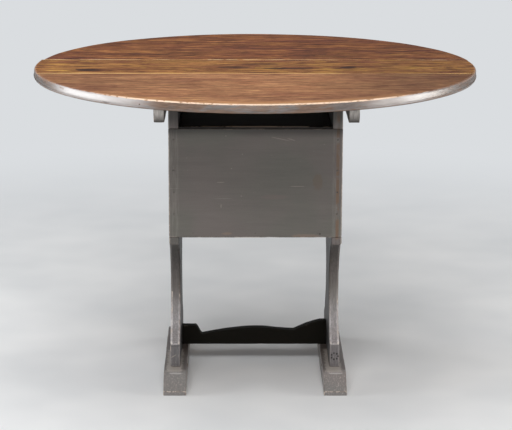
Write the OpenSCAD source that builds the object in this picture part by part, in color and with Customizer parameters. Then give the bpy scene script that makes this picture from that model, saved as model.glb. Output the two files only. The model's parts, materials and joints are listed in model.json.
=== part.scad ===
/* [Table] */
// Height of the table's top face above the floor
table_h = 711; // [690:1:740]

/* [Round top] */
// Diameter of the round top
top_d = 995; // [940:5:1160]
// Thickness of the boards of the top
top_t = 21; // [18:0.5:28]
// Width of the narrow middle board
middle_board_w = 192.5; // [150:0.5:260]
// How far the middle board's centre line lies in front of the top's centre
middle_board_shift = 17.5; // [0:0.5:60]
// Rounding of the rim's upper arris
rim_upper_r = 5; // [2:0.5:8]
// Rounding of the rim's lower arris
rim_lower_r = 3; // [1:0.5:8]

/* [Cleats] */
// Width of a cleat, across the table
cleat_w = 22.5; // [20:0.5:40]
// Height of a cleat, below the top
cleat_h = 41; // [40:1:60]
// Length of a cleat, front to back
cleat_l = 770; // [700:5:860]
// Rounding of a cleat's lower end corners
cleat_end_r = 14; // [4:1:30]
// Running gap between a cleat and the side that it swings past
cleat_gap = 1; // [0.5:0.1:3]

/* [Pivot] */
// Distance of the pivot below the top's underside
pivot_drop = 24; // [20:0.5:28]
// Running gap between the top's underside and the sides
top_gap = 0.4; // [0.3:0.1:1]
// Diameter of a pivot pin's shank
pin_d = 16; // [12:0.5:20]
// Radial clearance of the pin in its cleat
pin_fit = 0.08; // [0.02:0.01:0.1]
// Diameter of a pivot pin's head
pin_head_d = 28; // [22:1:34]
// Thickness of a pivot pin's head
pin_head_t = 9; // [6:0.5:14]
// Gap between the pin's head and the cleat
pin_head_gap = 0.4; // [0.3:0.1:1]
// How far a pivot pin stands out inside the box
pin_end = 6; // [0:0.5:12]

/* [Sides] */
// Width across the two sides, outer face to outer face
box_w = 383; // [340:1:440]
// Thickness of a side
side_t = 22.5; // [18:0.5:26]
// Depth of the sides at the box, front to back
box_depth = 362; // [330:1:380]
// Depth of the sides where they stand on the feet
base_depth = 292; // [260:1:320]
// Depth of the sides at the waist
waist_depth = 152; // [130:1:180]
// Height of the lip under the curved cut above the floor
lip_z = 97; // [85:1:110]
// Thickness of the ledge that a side keeps under the front board
chin_t = 16.5; // [6:0.5:20]
// Width of the chamfers along the curved cuts
cut_chamfer = 4; // [1:0.5:6]

/* [Box] */
// Height of the open space between the box and the top
open_h = 91; // [80:1:130]
// Height of the front and back boards
panel_h = 245.5; // [200:0.5:250]
// Thickness of the front and back boards
panel_t = 21.5; // [16:0.5:26]
// Thickness of the box's bottom board
bottom_t = 20; // [14:0.5:24]
// Depth of the grooves in the sides that hold the bottom board
groove = 6; // [3:0.5:10]

/* [Lid] */
// Thickness of the lid
lid_t = 20; // [16:0.5:24]
// Gap between the lid and each side
lid_side_gap = 1.2; // [0.5:0.1:4]
// Gap between the lid and the front board
lid_front_gap = 3; // [2:0.1:6]
// Gap between the closed lid and the strips that it rests on
lid_rest_gap = 0.3; // [0.2:0.1:1]
// Width of the fixed rail behind the lid
rail_w = 47; // [42:1:80]
// Thickness of the fixed rail behind the lid
rail_t = 20; // [16:0.5:24]
// Gap between the lid and the rail
hinge_gap = 1; // [0.6:0.1:2]
// Width of the strips under the lid
rest_w = 20; // [14:1:30]
// Height of the strips under the lid
rest_h = 20; // [14:1:30]

/* [Lid hinges] */
// Distance between the two hinges' middles
hinge_spacing = 200; // [120:5:240]
// Length of a hinge along its pin
hinge_l = 50; // [40:1:70]
// Depth of a hinge leaf from the pin's axis to its edge
leaf_depth = 30; // [24:1:36]
// Thickness of a hinge leaf
leaf_t = 2; // [1.5:0.1:2.5]
// Radius of a hinge knuckle
knuckle_r = 3.3; // [3:0.1:4]
// Diameter of a hinge pin
hinge_pin_d = 3.5; // [3:0.1:4]
// Radial clearance of the hinge pin in the lid's knuckle
hinge_fit = 0.06; // [0.02:0.01:0.1]
// Gap between knuckles, and between knuckles and what they turn past
knuckle_gap = 0.3; // [0.2:0.05:0.5]

/* [Stretcher] */
// Thickness of the stretcher
stretcher_t = 22; // [16:0.5:28]
// How far the stretcher's front face lies behind the table's middle
stretcher_back = 30; // [-20:1:45]
// Height of the stretcher at its left shoulder
left_shoulder_h = 45; // [42:1:70]
// Length of the left shoulder
left_shoulder_l = 31; // [10:1:38]
// Height of the stretcher at its left hollow
left_hollow_h = 24; // [14:1:34]
// Distance of the left hollow from the left side
left_hollow_at = 48; // [42:1:80]
// Height of the stretcher at its low crest
crest_h = 40; // [36:0.5:60]
// Distance of the crest to the right of the table's middle
crest_at = 8; // [-20:1:34]
// Height of the stretcher at its right hollow
right_hollow_h = 34; // [20:1:42]
// Distance of the right hollow from the right side
right_hollow_at = 76; // [70:1:100]
// Height of the stretcher at its right shoulder
right_shoulder_h = 57; // [46:1:70]
// Length of the right shoulder
right_shoulder_l = 14; // [14:1:50]
// Height of the stretcher's tenons
stretcher_tenon_h = 26; // [16:1:30]
// Height of the tenons' lower faces above the tops of the feet
stretcher_tenon_up = 7; // [4:1:10]

/* [Feet] */
// Length of a foot, front to back
foot_l = 446; // [400:1:520]
// Width of a foot
foot_w = 51.5; // [40:0.5:60]
// Height of a foot
foot_h = 43; // [36:0.5:50]
// How far a foot stands out beyond the outer face of its side
foot_out = 14; // [4:0.5:18]
// Length of a foot's sloping toe
toe_l = 43; // [30:1:50]
// Height of a foot at its toe
toe_h = 9.5; // [6:0.5:16]
// Width of the tenons that hold a side in its foot
tenon_w = 60; // [40:1:80]
// Depth of these tenons in the foot
tenon_depth = 28; // [24:0.5:30]
// Distance between the middles of a side's two tenons
tenon_spacing = 170; // [140:1:180]
// Diameter of the pegs through the tenons
peg_d = 8; // [6:0.5:10]
// Depth of the pegs below the top of the foot
peg_drop = 15; // [10:0.5:17]

/* [Nails] */
// Width of a nail's square shank
nail_w = 3; // [2:0.25:4]
// Width of a nail's square head
nail_head_w = 6.5; // [5:0.25:8]
// Thickness of a nail's head
nail_head_t = 2; // [1:0.25:3]
// How deep the nails of the front and back boards bite into what is behind these boards
panel_nail_bite = 30; // [20:1:38]
// How deep the nails of the cleats bite into the top
cleat_nail_bite = 14; // [8:0.5:16]
// How deep the nails of the strips under the lid bite into the sides
rest_nail_bite = 15; // [8:0.5:17]
// Distance from the sides' inner faces to the outer nails of the bottom board
bottom_nail_in = 30.5; // [15:0.5:60]
// Length of the screws in the hinges
screw_l = 12; // [8:0.5:15]
// Diameter of a hinge screw's shank
screw_d = 3; // [2.5:0.1:3.5]
// Diameter of a hinge screw's head
screw_head_d = 6.4; // [5:0.2:7]
// Thickness of a hinge screw's head
screw_head_t = 1.2; // [0.8:0.1:1.4]

/* [Hidden] */

// Colours of the finishes
PINE = [0.62, 0.45, 0.35];
GREY_PAINT = [0.37, 0.35, 0.33];
BARE_PINE = [0.70, 0.58, 0.42];
IRON = [0.25, 0.22, 0.20];
HARDWOOD = [0.50, 0.38, 0.26];

// How far a cutting shape runs past the face that it cuts
over = 2;
// Facets of round parts
$fn = 96;
// Facets of the rim
rim_fn = 240;

// Heights and places that follow from the driving sizes
top_r = top_d / 2;
top_under = table_h - top_t;
seam_front = -middle_board_shift - middle_board_w / 2;
seam_back = -middle_board_shift + middle_board_w / 2;
side_out = box_w / 2;
side_in = side_out - side_t;
cleat_in = side_out + cleat_gap;
cleat_mid = cleat_in + cleat_w / 2;
pivot_z = top_under - pivot_drop;
corner_r = pivot_drop - top_gap;
pivot_y = box_depth / 2 - corner_r;
side_top = pivot_z + corner_r;
panel_top = top_under - open_h;
panel_bottom = panel_top - panel_h;
panel_in = box_depth / 2 - panel_t;

// The curved cut: one arc from the lip, as deep as the waist, up to the ledge under the front board
chin_z = panel_bottom - chin_t;
lip_in = (base_depth - waist_depth) / 2;
chin_in = (box_depth - waist_depth) / 2;
cut_a = chin_in - lip_in;
cut_b = lip_in * chin_z - chin_in * lip_z;
cut_c = chin_in * lip_z * lip_z - lip_in * chin_z * chin_z - lip_in * chin_in * cut_a;
cut_z = (sqrt(cut_b * cut_b - cut_a * cut_c) - cut_b) / cut_a;
cut_r = (lip_in * lip_in + (cut_z - lip_z) * (cut_z - lip_z)) / (2 * lip_in);
cut_y = waist_depth / 2 + cut_r;

// The lid, its rail and its rests
rest_top = panel_top - rail_t;
lid_under = rest_top + lid_rest_gap;
lid_top = lid_under + lid_t;
hinge_y = panel_in - rail_w - hinge_gap / 2;
hinge_z = max(panel_top, lid_top) + knuckle_r + knuckle_gap;
lid_back = hinge_y - hinge_gap / 2;
lid_front = -panel_in + lid_front_gap;

// The foot
foot_outer = side_out + foot_out;
foot_inner = foot_outer - foot_w;

// The stretcher stands on the feet; key points of its top edge, each [across the table, height]
tenon_low = foot_h + stretcher_tenon_up;
left_shoulder = [-side_in + left_shoulder_l, left_shoulder_h];
left_hollow = [-side_in + left_hollow_at, left_hollow_h];
crest = [crest_at, crest_h];
right_hollow = [side_in - right_hollow_at, right_hollow_h];
right_shoulder = [side_in - right_shoulder_l, right_shoulder_h];
// Points on each curve between two key points
scallop_steps = 9;

// Places of the nails
side_mid = side_out - side_t / 2;
panel_nail_l = panel_t + panel_nail_bite;
cleat_nail_l = cleat_h + cleat_nail_bite;
rest_nail_l = rest_w + rest_nail_bite;
// Heights of the nails up the ends of the front and back boards
PANEL_NAIL_UP = [for (part = [0.22, 0.42, 0.62, 0.9]) part * panel_h];
bottom_nail_z = panel_bottom + bottom_t / 2;
// Places of the nails along each cleat, two to each board
nail_margin = 45;
CLEAT_NAIL_Y = [
    -cleat_l / 2 + nail_margin, seam_front - nail_margin,
    seam_front + nail_margin, seam_back - nail_margin,
    (seam_back + pivot_y) / 2, cleat_l / 2 - nail_margin
];
REST_NAIL_Y = [for (step = [-1, 0, 1]) step * (panel_in - nail_margin)];
RAIL_NAIL_X = [for (step = [-1, 0, 1]) step * (side_in - rest_w - nail_head_w)];
screw_x = hinge_l / 2 - screw_head_d;
screw_y = (leaf_depth + 2 * knuckle_r) / 2;

// A prism with a front-to-back outline: outline x is the table's Y and outline y its Z
module across(x, width) {
    translate([x, 0, 0]) rotate([90, 0, 90]) linear_extrude(width) children();
}

// A block from its two corners
module block(low, high) {
    translate(low) cube(high - low);
}

// A square nail along +Z, its head's face at the origin; past lengthens the head where it cuts its own hole
module nail(length, past) {
    block([-nail_w / 2, -nail_w / 2, 0], [nail_w / 2, nail_w / 2, length]);
    block([-nail_head_w / 2, -nail_head_w / 2, -past], [nail_head_w / 2, nail_head_w / 2, nail_head_t]);
}

// A hinge screw along -Z, its head's face at the origin; past is as for a nail
module screw(past) {
    translate([0, 0, -screw_l]) cylinder(d = screw_d, h = screw_l);
    translate([0, 0, -screw_head_t]) cylinder(d = screw_head_d, h = screw_head_t + past);
}

// Puts a shape on both sides of the table
module both_sides() {
    children();
    mirror([1, 0, 0]) children();
}

// All nails through the ends of one panel; way is -1 for the front and 1 for the back
module panel_nails(way, past = 0) {
    for (side = [-1, 1], up = PANEL_NAIL_UP)
        translate([side * side_mid, way * box_depth / 2, panel_bottom + up])
            rotate([way * 90, 0, 0]) nail(panel_nail_l, past);
}

// The nails through the front and back boards into the bottom board
module bottom_nails(past = 0) {
    for (way = [-1, 1], step = [-1, 0, 1])
        translate([step * (side_in - bottom_nail_in), way * box_depth / 2, bottom_nail_z])
            rotate([way * 90, 0, 0]) nail(panel_nail_l, past);
}

// The nails up through both cleats into the top
module cleat_nail_set(past = 0) {
    for (side = [-1, 1], y = CLEAT_NAIL_Y)
        translate([side * cleat_mid, y, top_under - cleat_h]) nail(cleat_nail_l, past);
}

// The nails through the strips under the lid into the sides
module rest_nail_set(past = 0) {
    both_sides() for (y = REST_NAIL_Y)
        translate([side_in - rest_w, y, rest_top - rest_h / 2]) rotate([0, 90, 0]) nail(rest_nail_l, past);
}

// The nails through the back board into the lid's rail
module rail_nail_set(past = 0) {
    for (x = RAIL_NAIL_X)
        translate([x, box_depth / 2, panel_top - rail_t / 2]) rotate([90, 0, 0]) nail(panel_nail_l, past);
}

// Puts a shape at the middle of both hinges, on the pins' axis
module at_hinges() {
    for (side = [-1, 1]) translate([side * hinge_spacing / 2, hinge_y, hinge_z]) children();
}

// The screws of the rail's leaves
module rail_screw_set(past = 0) {
    at_hinges() for (side = [-1, 1])
        translate([side * screw_x, screw_y, panel_top + leaf_t - hinge_z]) screw(past);
}

// The screws of the lid's leaves
module lid_screw_set(past = 0) {
    at_hinges() for (side = [-1, 1])
        translate([side * screw_x, -screw_y, lid_top + leaf_t - hinge_z]) screw(past);
}

// Section of the round top, from its axis to its rim
module rim_section() {
    deep_r = max(rim_upper_r, rim_lower_r);
    square([top_r - deep_r, top_t]);
    square([top_r - rim_lower_r, top_t - rim_upper_r]);
    translate([0, rim_lower_r]) square([top_r - rim_upper_r, top_t - rim_lower_r]);
    translate([0, rim_lower_r]) square([top_r, top_t - rim_lower_r - rim_upper_r]);
    translate([top_r - rim_upper_r, top_t - rim_upper_r]) circle(rim_upper_r);
    translate([top_r - rim_lower_r, rim_lower_r]) circle(rim_lower_r);
}

// One board of the round top, between two places front to back
module top_board(y_low, y_high) {
    color(PINE) difference() {
        intersection() {
            translate([0, 0, top_under]) rotate_extrude($fn = rim_fn) rim_section();
            block([-top_d, y_low, top_under - over], [top_d, y_high, table_h + over]);
        }
        cleat_nail_set(over);
    }
}

// A cleat, with its ends rounded below and the pivot's bore
module cleat(side) {
    z_low = top_under - cleat_h;
    half = cleat_l / 2;
    color(GREY_PAINT) difference() {
        mirror([side < 0 ? 1 : 0, 0, 0]) across(cleat_in, cleat_w) {
            translate([-half, z_low + cleat_end_r]) square([cleat_l, cleat_h - cleat_end_r]);
            translate([-half + cleat_end_r, z_low]) square([cleat_l - 2 * cleat_end_r, cleat_h]);
            for (end = [-1, 1])
                translate([end * (half - cleat_end_r), z_low + cleat_end_r]) circle(cleat_end_r);
        }
        pivot_hole(pin_d / 2 + pin_fit);
        cleat_nail_set(over);
    }
}

// A round hole along the pivot's axis, right across the table
module pivot_hole(radius) {
    translate([-top_r, pivot_y, pivot_z]) rotate([0, 90, 0]) cylinder(r = radius, h = top_d);
}

// A pivot pin: shank tight in the side and running in the cleat, head outside
module pivot_pin(side) {
    head_in = cleat_in + cleat_w + pin_head_gap;
    color(HARDWOOD) mirror([side < 0 ? 1 : 0, 0, 0]) translate([0, pivot_y, pivot_z]) rotate([0, 90, 0]) {
        translate([0, 0, side_in - pin_end]) cylinder(d = pin_d, h = head_in - side_in + pin_end);
        translate([0, 0, head_in]) cylinder(d = pin_head_d, h = pin_head_t);
    }
}

// Outline of a side, front to back, with its two tenons below
module side_outline() {
    difference() {
        union() {
            translate([-box_depth / 2, cut_z]) square([box_depth, side_top - cut_z]);
            translate([-base_depth / 2, foot_h]) square([base_depth, cut_z - foot_h]);
            for (way = [-1, 1])
                translate([way * tenon_spacing / 2 - tenon_w / 2, foot_h - tenon_depth])
                    square([tenon_w, tenon_depth + over]);
        }
        for (way = [-1, 1]) translate([way * cut_y, cut_z]) circle(cut_r);
        for (way = [-1, 1])
            translate([way * (box_depth / 2 - panel_t / 2 + over / 2) - (panel_t + over) / 2, panel_bottom])
                square([panel_t + over, panel_h]);
        difference() {
            translate([pivot_y, pivot_z]) square(corner_r + over);
            translate([pivot_y, pivot_z]) circle(corner_r);
        }
    }
}

// The cones that chamfer the curved cuts on both faces of a side; the circle's axis lies across the table
module cut_chamfers() {
    for (side = [0, 1], way = [-1, 1])
        mirror([side, 0, 0]) translate([0, way * cut_y, cut_z]) rotate([0, 90, 0]) {
            translate([0, 0, side_in - over])
                cylinder(h = over + cut_chamfer, r1 = cut_r + cut_chamfer + over, r2 = cut_r);
            translate([0, 0, side_out - cut_chamfer])
                cylinder(h = cut_chamfer + over, r1 = cut_r, r2 = cut_r + cut_chamfer + over);
        }
}

// A side: the box's end and the legs, cut from one board
module side(way) {
    color(GREY_PAINT) difference() {
        mirror([way < 0 ? 1 : 0, 0, 0]) difference() {
            across(side_in, side_t) side_outline();
            block([side_in - over, -panel_in, panel_bottom], [side_in + groove, panel_in, panel_bottom + bottom_t]);
        }
        cut_chamfers();
        pivot_hole(pin_d / 2);
        stretcher_tenons(over);
        foot_peg_set(over);
        panel_nails(-1, over);
        panel_nails(1, over);
        rest_nail_set(over);
    }
}

// A shoe foot with sloping toes, mortised for the side's tenons
module foot(way) {
    half = foot_l / 2;
    color(GREY_PAINT) difference() {
        mirror([way < 0 ? 1 : 0, 0, 0]) difference() {
            across(foot_inner, foot_w) polygon([
                [-half, 0], [half, 0], [half, toe_h],
                [half - toe_l, foot_h], [-half + toe_l, foot_h], [-half, toe_h]
            ]);
            for (end = [-1, 1])
                block([side_in, end * tenon_spacing / 2 - tenon_w / 2, foot_h - tenon_depth],
                    [side_out, end * tenon_spacing / 2 + tenon_w / 2, foot_h + over]);
        }
        foot_peg_set(over);
    }
}

// The pegs through the feet and the sides' tenons
module foot_peg_set(past = 0) {
    both_sides() for (end = [-1, 1])
        translate([foot_inner - past, end * tenon_spacing / 2, foot_h - peg_drop])
            rotate([0, 90, 0]) cylinder(d = peg_d, h = foot_w + 2 * past, $fn = 32);
}

// Points of a curve from one key point to the next; shape turns a share of its run into a share of its rise
function curve(from, to, shape) = [
    for (step = [0:scallop_steps - 1])
        let (part = step / scallop_steps)
        [from.x + (to.x - from.x) * part, from.y + (to.y - from.y) * shape(part)]
];
ogee = function (part) (1 - cos(180 * part)) / 2;
quick = function (part) sin(90 * part);
steady = function (part) (part + quick(part)) / 2;

// The stretcher's two tenons, right through the sides; each starts a little way inside its shoulder
module stretcher_tenons(past = 0) {
    both_sides() block([side_in - over, stretcher_back, tenon_low],
        [side_out + past, stretcher_back + stretcher_t, tenon_low + stretcher_tenon_h]);
}

// The scalloped stretcher
module stretcher() {
    outline = concat(
        [[-side_in, 0], [-side_in, left_shoulder_h]],
        curve(left_shoulder, left_hollow, ogee),
        curve(left_hollow, crest, quick),
        curve(crest, right_hollow, ogee),
        curve(right_hollow, right_shoulder, steady),
        [right_shoulder, [side_in, right_shoulder_h], [side_in, 0]]
    );
    color(GREY_PAINT) union() {
        translate([0, stretcher_back + stretcher_t, foot_h])
            rotate([90, 0, 0]) linear_extrude(stretcher_t) polygon(outline);
        stretcher_tenons();
    }
}

// A front or back board, let into the edges of the sides
module panel(way) {
    near = way * box_depth / 2;
    far = way * panel_in;
    color(GREY_PAINT) difference() {
        block([-side_out, min(near, far), panel_bottom], [side_out, max(near, far), panel_top]);
        panel_nails(way, over);
        bottom_nails(over);
        rail_nail_set(over);
    }
}

module front_board() {
    panel(-1);
}

module back_board() {
    panel(1);
}

// The box's bottom, with its ends in the sides' grooves
module bottom_board() {
    reach = side_in + groove;
    color(BARE_PINE) difference() {
        block([-reach, -panel_in, panel_bottom], [reach, panel_in, panel_bottom + bottom_t]);
        bottom_nails(over);
    }
}

// The strip that a side carries under the lid and its rail
module lid_rest(way) {
    color(BARE_PINE) difference() {
        mirror([way < 0 ? 1 : 0, 0, 0])
            block([side_in - rest_w, -panel_in, rest_top - rest_h], [side_in, panel_in, rest_top]);
        rest_nail_set(over);
    }
}

// The fixed rail behind the lid, which carries its hinges
module lid_rail() {
    color(GREY_PAINT) difference() {
        block([-side_in, panel_in - rail_w, rest_top], [side_in, panel_in, panel_top]);
        rail_nail_set(over);
        rail_screw_set(over);
    }
}

// The lid, hinged at the back
module lid() {
    reach = side_in - lid_side_gap;
    color(GREY_PAINT) difference() {
        block([-reach, lid_front, lid_under], [reach, lid_back, lid_top]);
        lid_screw_set(over);
    }
}

// One hinge leaf behind the pin's axis, with its knuckles; under is the wood's face below the axis
module leaf(knuckles, fit, under) {
    clear_r = knuckle_r + knuckle_gap;
    difference() {
        union() {
            block([-hinge_l / 2, clear_r, under], [hinge_l / 2, leaf_depth, under + leaf_t]);
            for (span = knuckles) {
                translate([span[0], 0, 0]) rotate([0, 90, 0]) cylinder(r = knuckle_r, h = span[1] - span[0]);
                block([span[0], 0, under], [span[1], clear_r + 1, under + leaf_t]);
            }
        }
        translate([-hinge_l, 0, 0]) rotate([0, 90, 0]) cylinder(r = hinge_pin_d / 2 + fit, h = 2 * hinge_l);
    }
}

// Half the length of the middle knuckle, and where the outer knuckles start
middle_knuckle = hinge_l / 6;
outer_knuckle = middle_knuckle + knuckle_gap;

// The hinges' leaves on the rail, each with two knuckles that grip the pin
module hinge_rail_leaves() {
    spans = [[-hinge_l / 2, -outer_knuckle], [outer_knuckle, hinge_l / 2]];
    color(IRON) difference() {
        at_hinges() leaf(spans, 0, panel_top - hinge_z);
        rail_screw_set(over);
    }
}

// The hinges' leaves on the lid, each with one knuckle that turns on the pin
module hinge_lid_leaves() {
    spans = [[-middle_knuckle, middle_knuckle]];
    color(IRON) difference() {
        at_hinges() mirror([0, 1, 0]) leaf(spans, hinge_fit, lid_top - hinge_z);
        lid_screw_set(over);
    }
}

// The hinges' pins
module hinge_pins() {
    color(IRON) at_hinges()
        translate([-hinge_l / 2, 0, 0]) rotate([0, 90, 0]) cylinder(d = hinge_pin_d, h = hinge_l);
}

top_board(-top_r - over, seam_front);  // top_board_front
top_board(seam_front, seam_back);  // top_board_middle
top_board(seam_back, top_r + over);  // top_board_back
cleat(-1);  // cleat_left
cleat(1);  // cleat_right
color(IRON) cleat_nail_set();  // cleat_nails
pivot_pin(-1);  // pivot_pin_left
pivot_pin(1);  // pivot_pin_right
side(-1);  // side_left
side(1);  // side_right
foot(-1);  // foot_left
foot(1);  // foot_right
color(HARDWOOD) foot_peg_set();  // foot_pegs
stretcher();
front_board();
color(IRON) panel_nails(-1);  // front_board_nails
back_board();
color(IRON) panel_nails(1);  // back_board_nails
bottom_board();
color(IRON) bottom_nails();  // bottom_board_nails
lid_rest(-1);  // lid_rest_left
lid_rest(1);  // lid_rest_right
color(IRON) rest_nail_set();  // lid_rest_nails
lid_rail();
color(IRON) rail_nail_set();  // lid_rail_nails
lid();
hinge_rail_leaves();
color(IRON) rail_screw_set();  // hinge_rail_screws
hinge_lid_leaves();
color(IRON) lid_screw_set();  // hinge_lid_screws
hinge_pins();
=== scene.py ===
"""Looks of the chair table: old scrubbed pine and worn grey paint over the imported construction."""

import json
import logging
import math
from collections.abc import Callable, Iterable, Mapping, Sequence
from dataclasses import dataclass, field, replace
from enum import Enum
from functools import cached_property
from typing import TypeVar

import bmesh
import bpy
from bmesh.types import BMEdge, BMesh, BMFace, BMVert
from mathutils import Matrix, Vector, noise


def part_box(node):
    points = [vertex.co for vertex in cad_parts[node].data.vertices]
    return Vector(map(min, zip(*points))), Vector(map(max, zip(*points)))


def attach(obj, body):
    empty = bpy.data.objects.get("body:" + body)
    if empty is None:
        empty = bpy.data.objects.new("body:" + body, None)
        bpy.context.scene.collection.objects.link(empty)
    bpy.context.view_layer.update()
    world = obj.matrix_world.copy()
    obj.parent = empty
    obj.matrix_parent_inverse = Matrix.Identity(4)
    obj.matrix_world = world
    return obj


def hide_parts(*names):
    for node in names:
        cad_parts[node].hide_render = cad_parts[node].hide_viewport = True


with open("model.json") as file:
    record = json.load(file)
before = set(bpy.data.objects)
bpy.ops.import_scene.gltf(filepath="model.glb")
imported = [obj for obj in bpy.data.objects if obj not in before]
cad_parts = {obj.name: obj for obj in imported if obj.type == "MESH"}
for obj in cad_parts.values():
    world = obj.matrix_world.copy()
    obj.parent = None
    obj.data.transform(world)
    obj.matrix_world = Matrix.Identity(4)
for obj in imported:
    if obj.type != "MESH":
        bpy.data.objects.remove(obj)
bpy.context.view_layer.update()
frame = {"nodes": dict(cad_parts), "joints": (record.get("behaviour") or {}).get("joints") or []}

LOG = logging.getLogger("chair_table")
Colour = tuple[float, float, float, float]
Material = bpy.types.Material
Socket = bpy.types.NodeSocket
Inputs = Mapping[int | str, object] | None
Item = TypeVar("Item")
MM = 0.001
KNOCK_SEED = 7
WHITE: Colour = (1.0, 1.0, 1.0, 1.0)


def tone(red: int, green: int, blue: int) -> Colour:
    """Turns a colour as it is seen, 0 to 255 for each part, into the linear one that shaders take.

    Args:
        red: Red part.
        green: Green part.
        blue: Blue part.

    Returns:
        The linear colour, opaque.
    """
    parts = [part / 255 for part in (red, green, blue)]
    linear = [part / 12.92 if part <= 0.04045 else ((part + 0.055) / 1.055) ** 2.4 for part in parts]
    return (linear[0], linear[1], linear[2], 1.0)


def even(scale: float) -> tuple[float, float, float]:
    """Returns the same pattern scale for X, Y and Z."""
    return (scale, scale, scale)


class Grain(Enum):
    """The axis that a piece's grain and brush strokes follow."""

    ACROSS = 0
    DEPTH = 1
    UPRIGHT = 2

    def stretch(self, along: float, across: float) -> tuple[float, ...]:
        """Returns pattern scales for X, Y and Z, long along the grain and fine across it."""
        return tuple(along if index == self.value else across for index in range(3))

    def axis(self) -> Vector:
        """Returns the unit vector along the grain."""
        return Vector(self.stretch(1.0, 0.0))


class Body(Enum):
    """The bodies that move against each other."""

    BASE = "base"
    TOP = "top"
    LID = "lid"


class Slot(Enum):
    """The record's material slots."""

    TOP_PINE = "top_pine"
    PAINT = "grey_painted_pine"
    BARE_PINE = "bare_pine"
    HARDWOOD = "pin_hardwood"
    IRON = "iron"


class Value:
    """The output of a node, which takes part in sums as a number does: each sum is a further node."""

    def __init__(self, nodes: "Nodes", socket: Socket) -> None:
        """Remembers the node tree and the output."""
        self.nodes = nodes
        self.socket = socket

    def __add__(self, other: "Value | float") -> "Value":
        """Returns the sum."""
        return self.nodes.math("ADD", self, other)

    def __sub__(self, other: "Value | float") -> "Value":
        """Returns the difference."""
        return self.nodes.math("SUBTRACT", self, other)

    def __rsub__(self, other: float) -> "Value":
        """Returns the difference, the other way round."""
        return self.nodes.math("SUBTRACT", other, self)

    def __mul__(self, other: "Value | float") -> "Value":
        """Returns the product."""
        return self.nodes.math("MULTIPLY", self, other)

    def __truediv__(self, other: float) -> "Value":
        """Returns the quotient."""
        return self.nodes.math("DIVIDE", self, other)

    def __pow__(self, power: float) -> "Value":
        """Returns the value raised to a power."""
        return self.nodes.math("POWER", self, power)

    def __abs__(self) -> "Value":
        """Returns the value without its sign."""
        return self.nodes.math("ABSOLUTE", self)

    def step(self, low: float, high: float) -> "Value":
        """Returns a smooth step from 0 at low to 1 at high, which may be the smaller of the two."""
        start, end = (0.0, 1.0) if low < high else (1.0, 0.0)
        return self.nodes.result(
            "ShaderNodeMapRange", "Result",
            {"Value": self, "From Min": min(low, high), "From Max": max(low, high),
             "To Min": start, "To Max": end}, interpolation_type="SMOOTHSTEP")

    def span(self, low: float, high: float) -> "Value":
        """Returns what runs straight from low, where the value is 0, to high, where it is 1."""
        inputs = {"Value": self, "To Min": low, "To Max": high}
        return self.nodes.result("ShaderNodeMapRange", "Result", inputs)


class Nodes:
    """The node tree of a material or of the surroundings."""

    def __init__(self, owner: Material | bpy.types.World) -> None:
        """Empties the node tree of its owner."""
        owner.use_nodes = True
        self.tree = owner.node_tree
        self.tree.nodes.clear()

    def add(self, kind: str, inputs: Inputs = None, **settings: object) -> bpy.types.Node:
        """Adds a node.

        Args:
            kind: Its type.
            inputs: What goes into it, as in feed.
            settings: Its other settings.

        Returns:
            The node.
        """
        node = self.tree.nodes.new(kind)
        for name, setting in settings.items():
            setattr(node, name, setting)
        self.feed(node, inputs or {})
        return node

    def feed(self, node: bpy.types.Node, inputs: Mapping[int | str, object]) -> None:
        """Links a node's inputs to values of other nodes, or sets them to plain ones.

        Args:
            node: The node.
            inputs: What goes into it, by the input's place or name.
        """
        for entry, value in inputs.items():
            if isinstance(value, Value):
                self.tree.links.new(value.socket, node.inputs[entry])
            else:
                node.inputs[entry].default_value = value

    def result(self, kind: str, output: int | str, inputs: Inputs = None, **settings: object) -> Value:
        """Adds a node and returns one of its outputs; the rest is as in add."""
        return Value(self, self.add(kind, inputs, **settings).outputs[output])

    def math(self, operation: str, first: object, second: object = 0.0, clamp: bool = False) -> Value:
        """Returns the result of a sum on one or two values."""
        return self.result("ShaderNodeMath", 0, {0: first, 1: second}, operation=operation, use_clamp=clamp)

    def most(self, first: "Value | float", second: Value) -> Value:
        """Returns the larger of two values."""
        return self.math("MAXIMUM", first, second)


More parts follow.
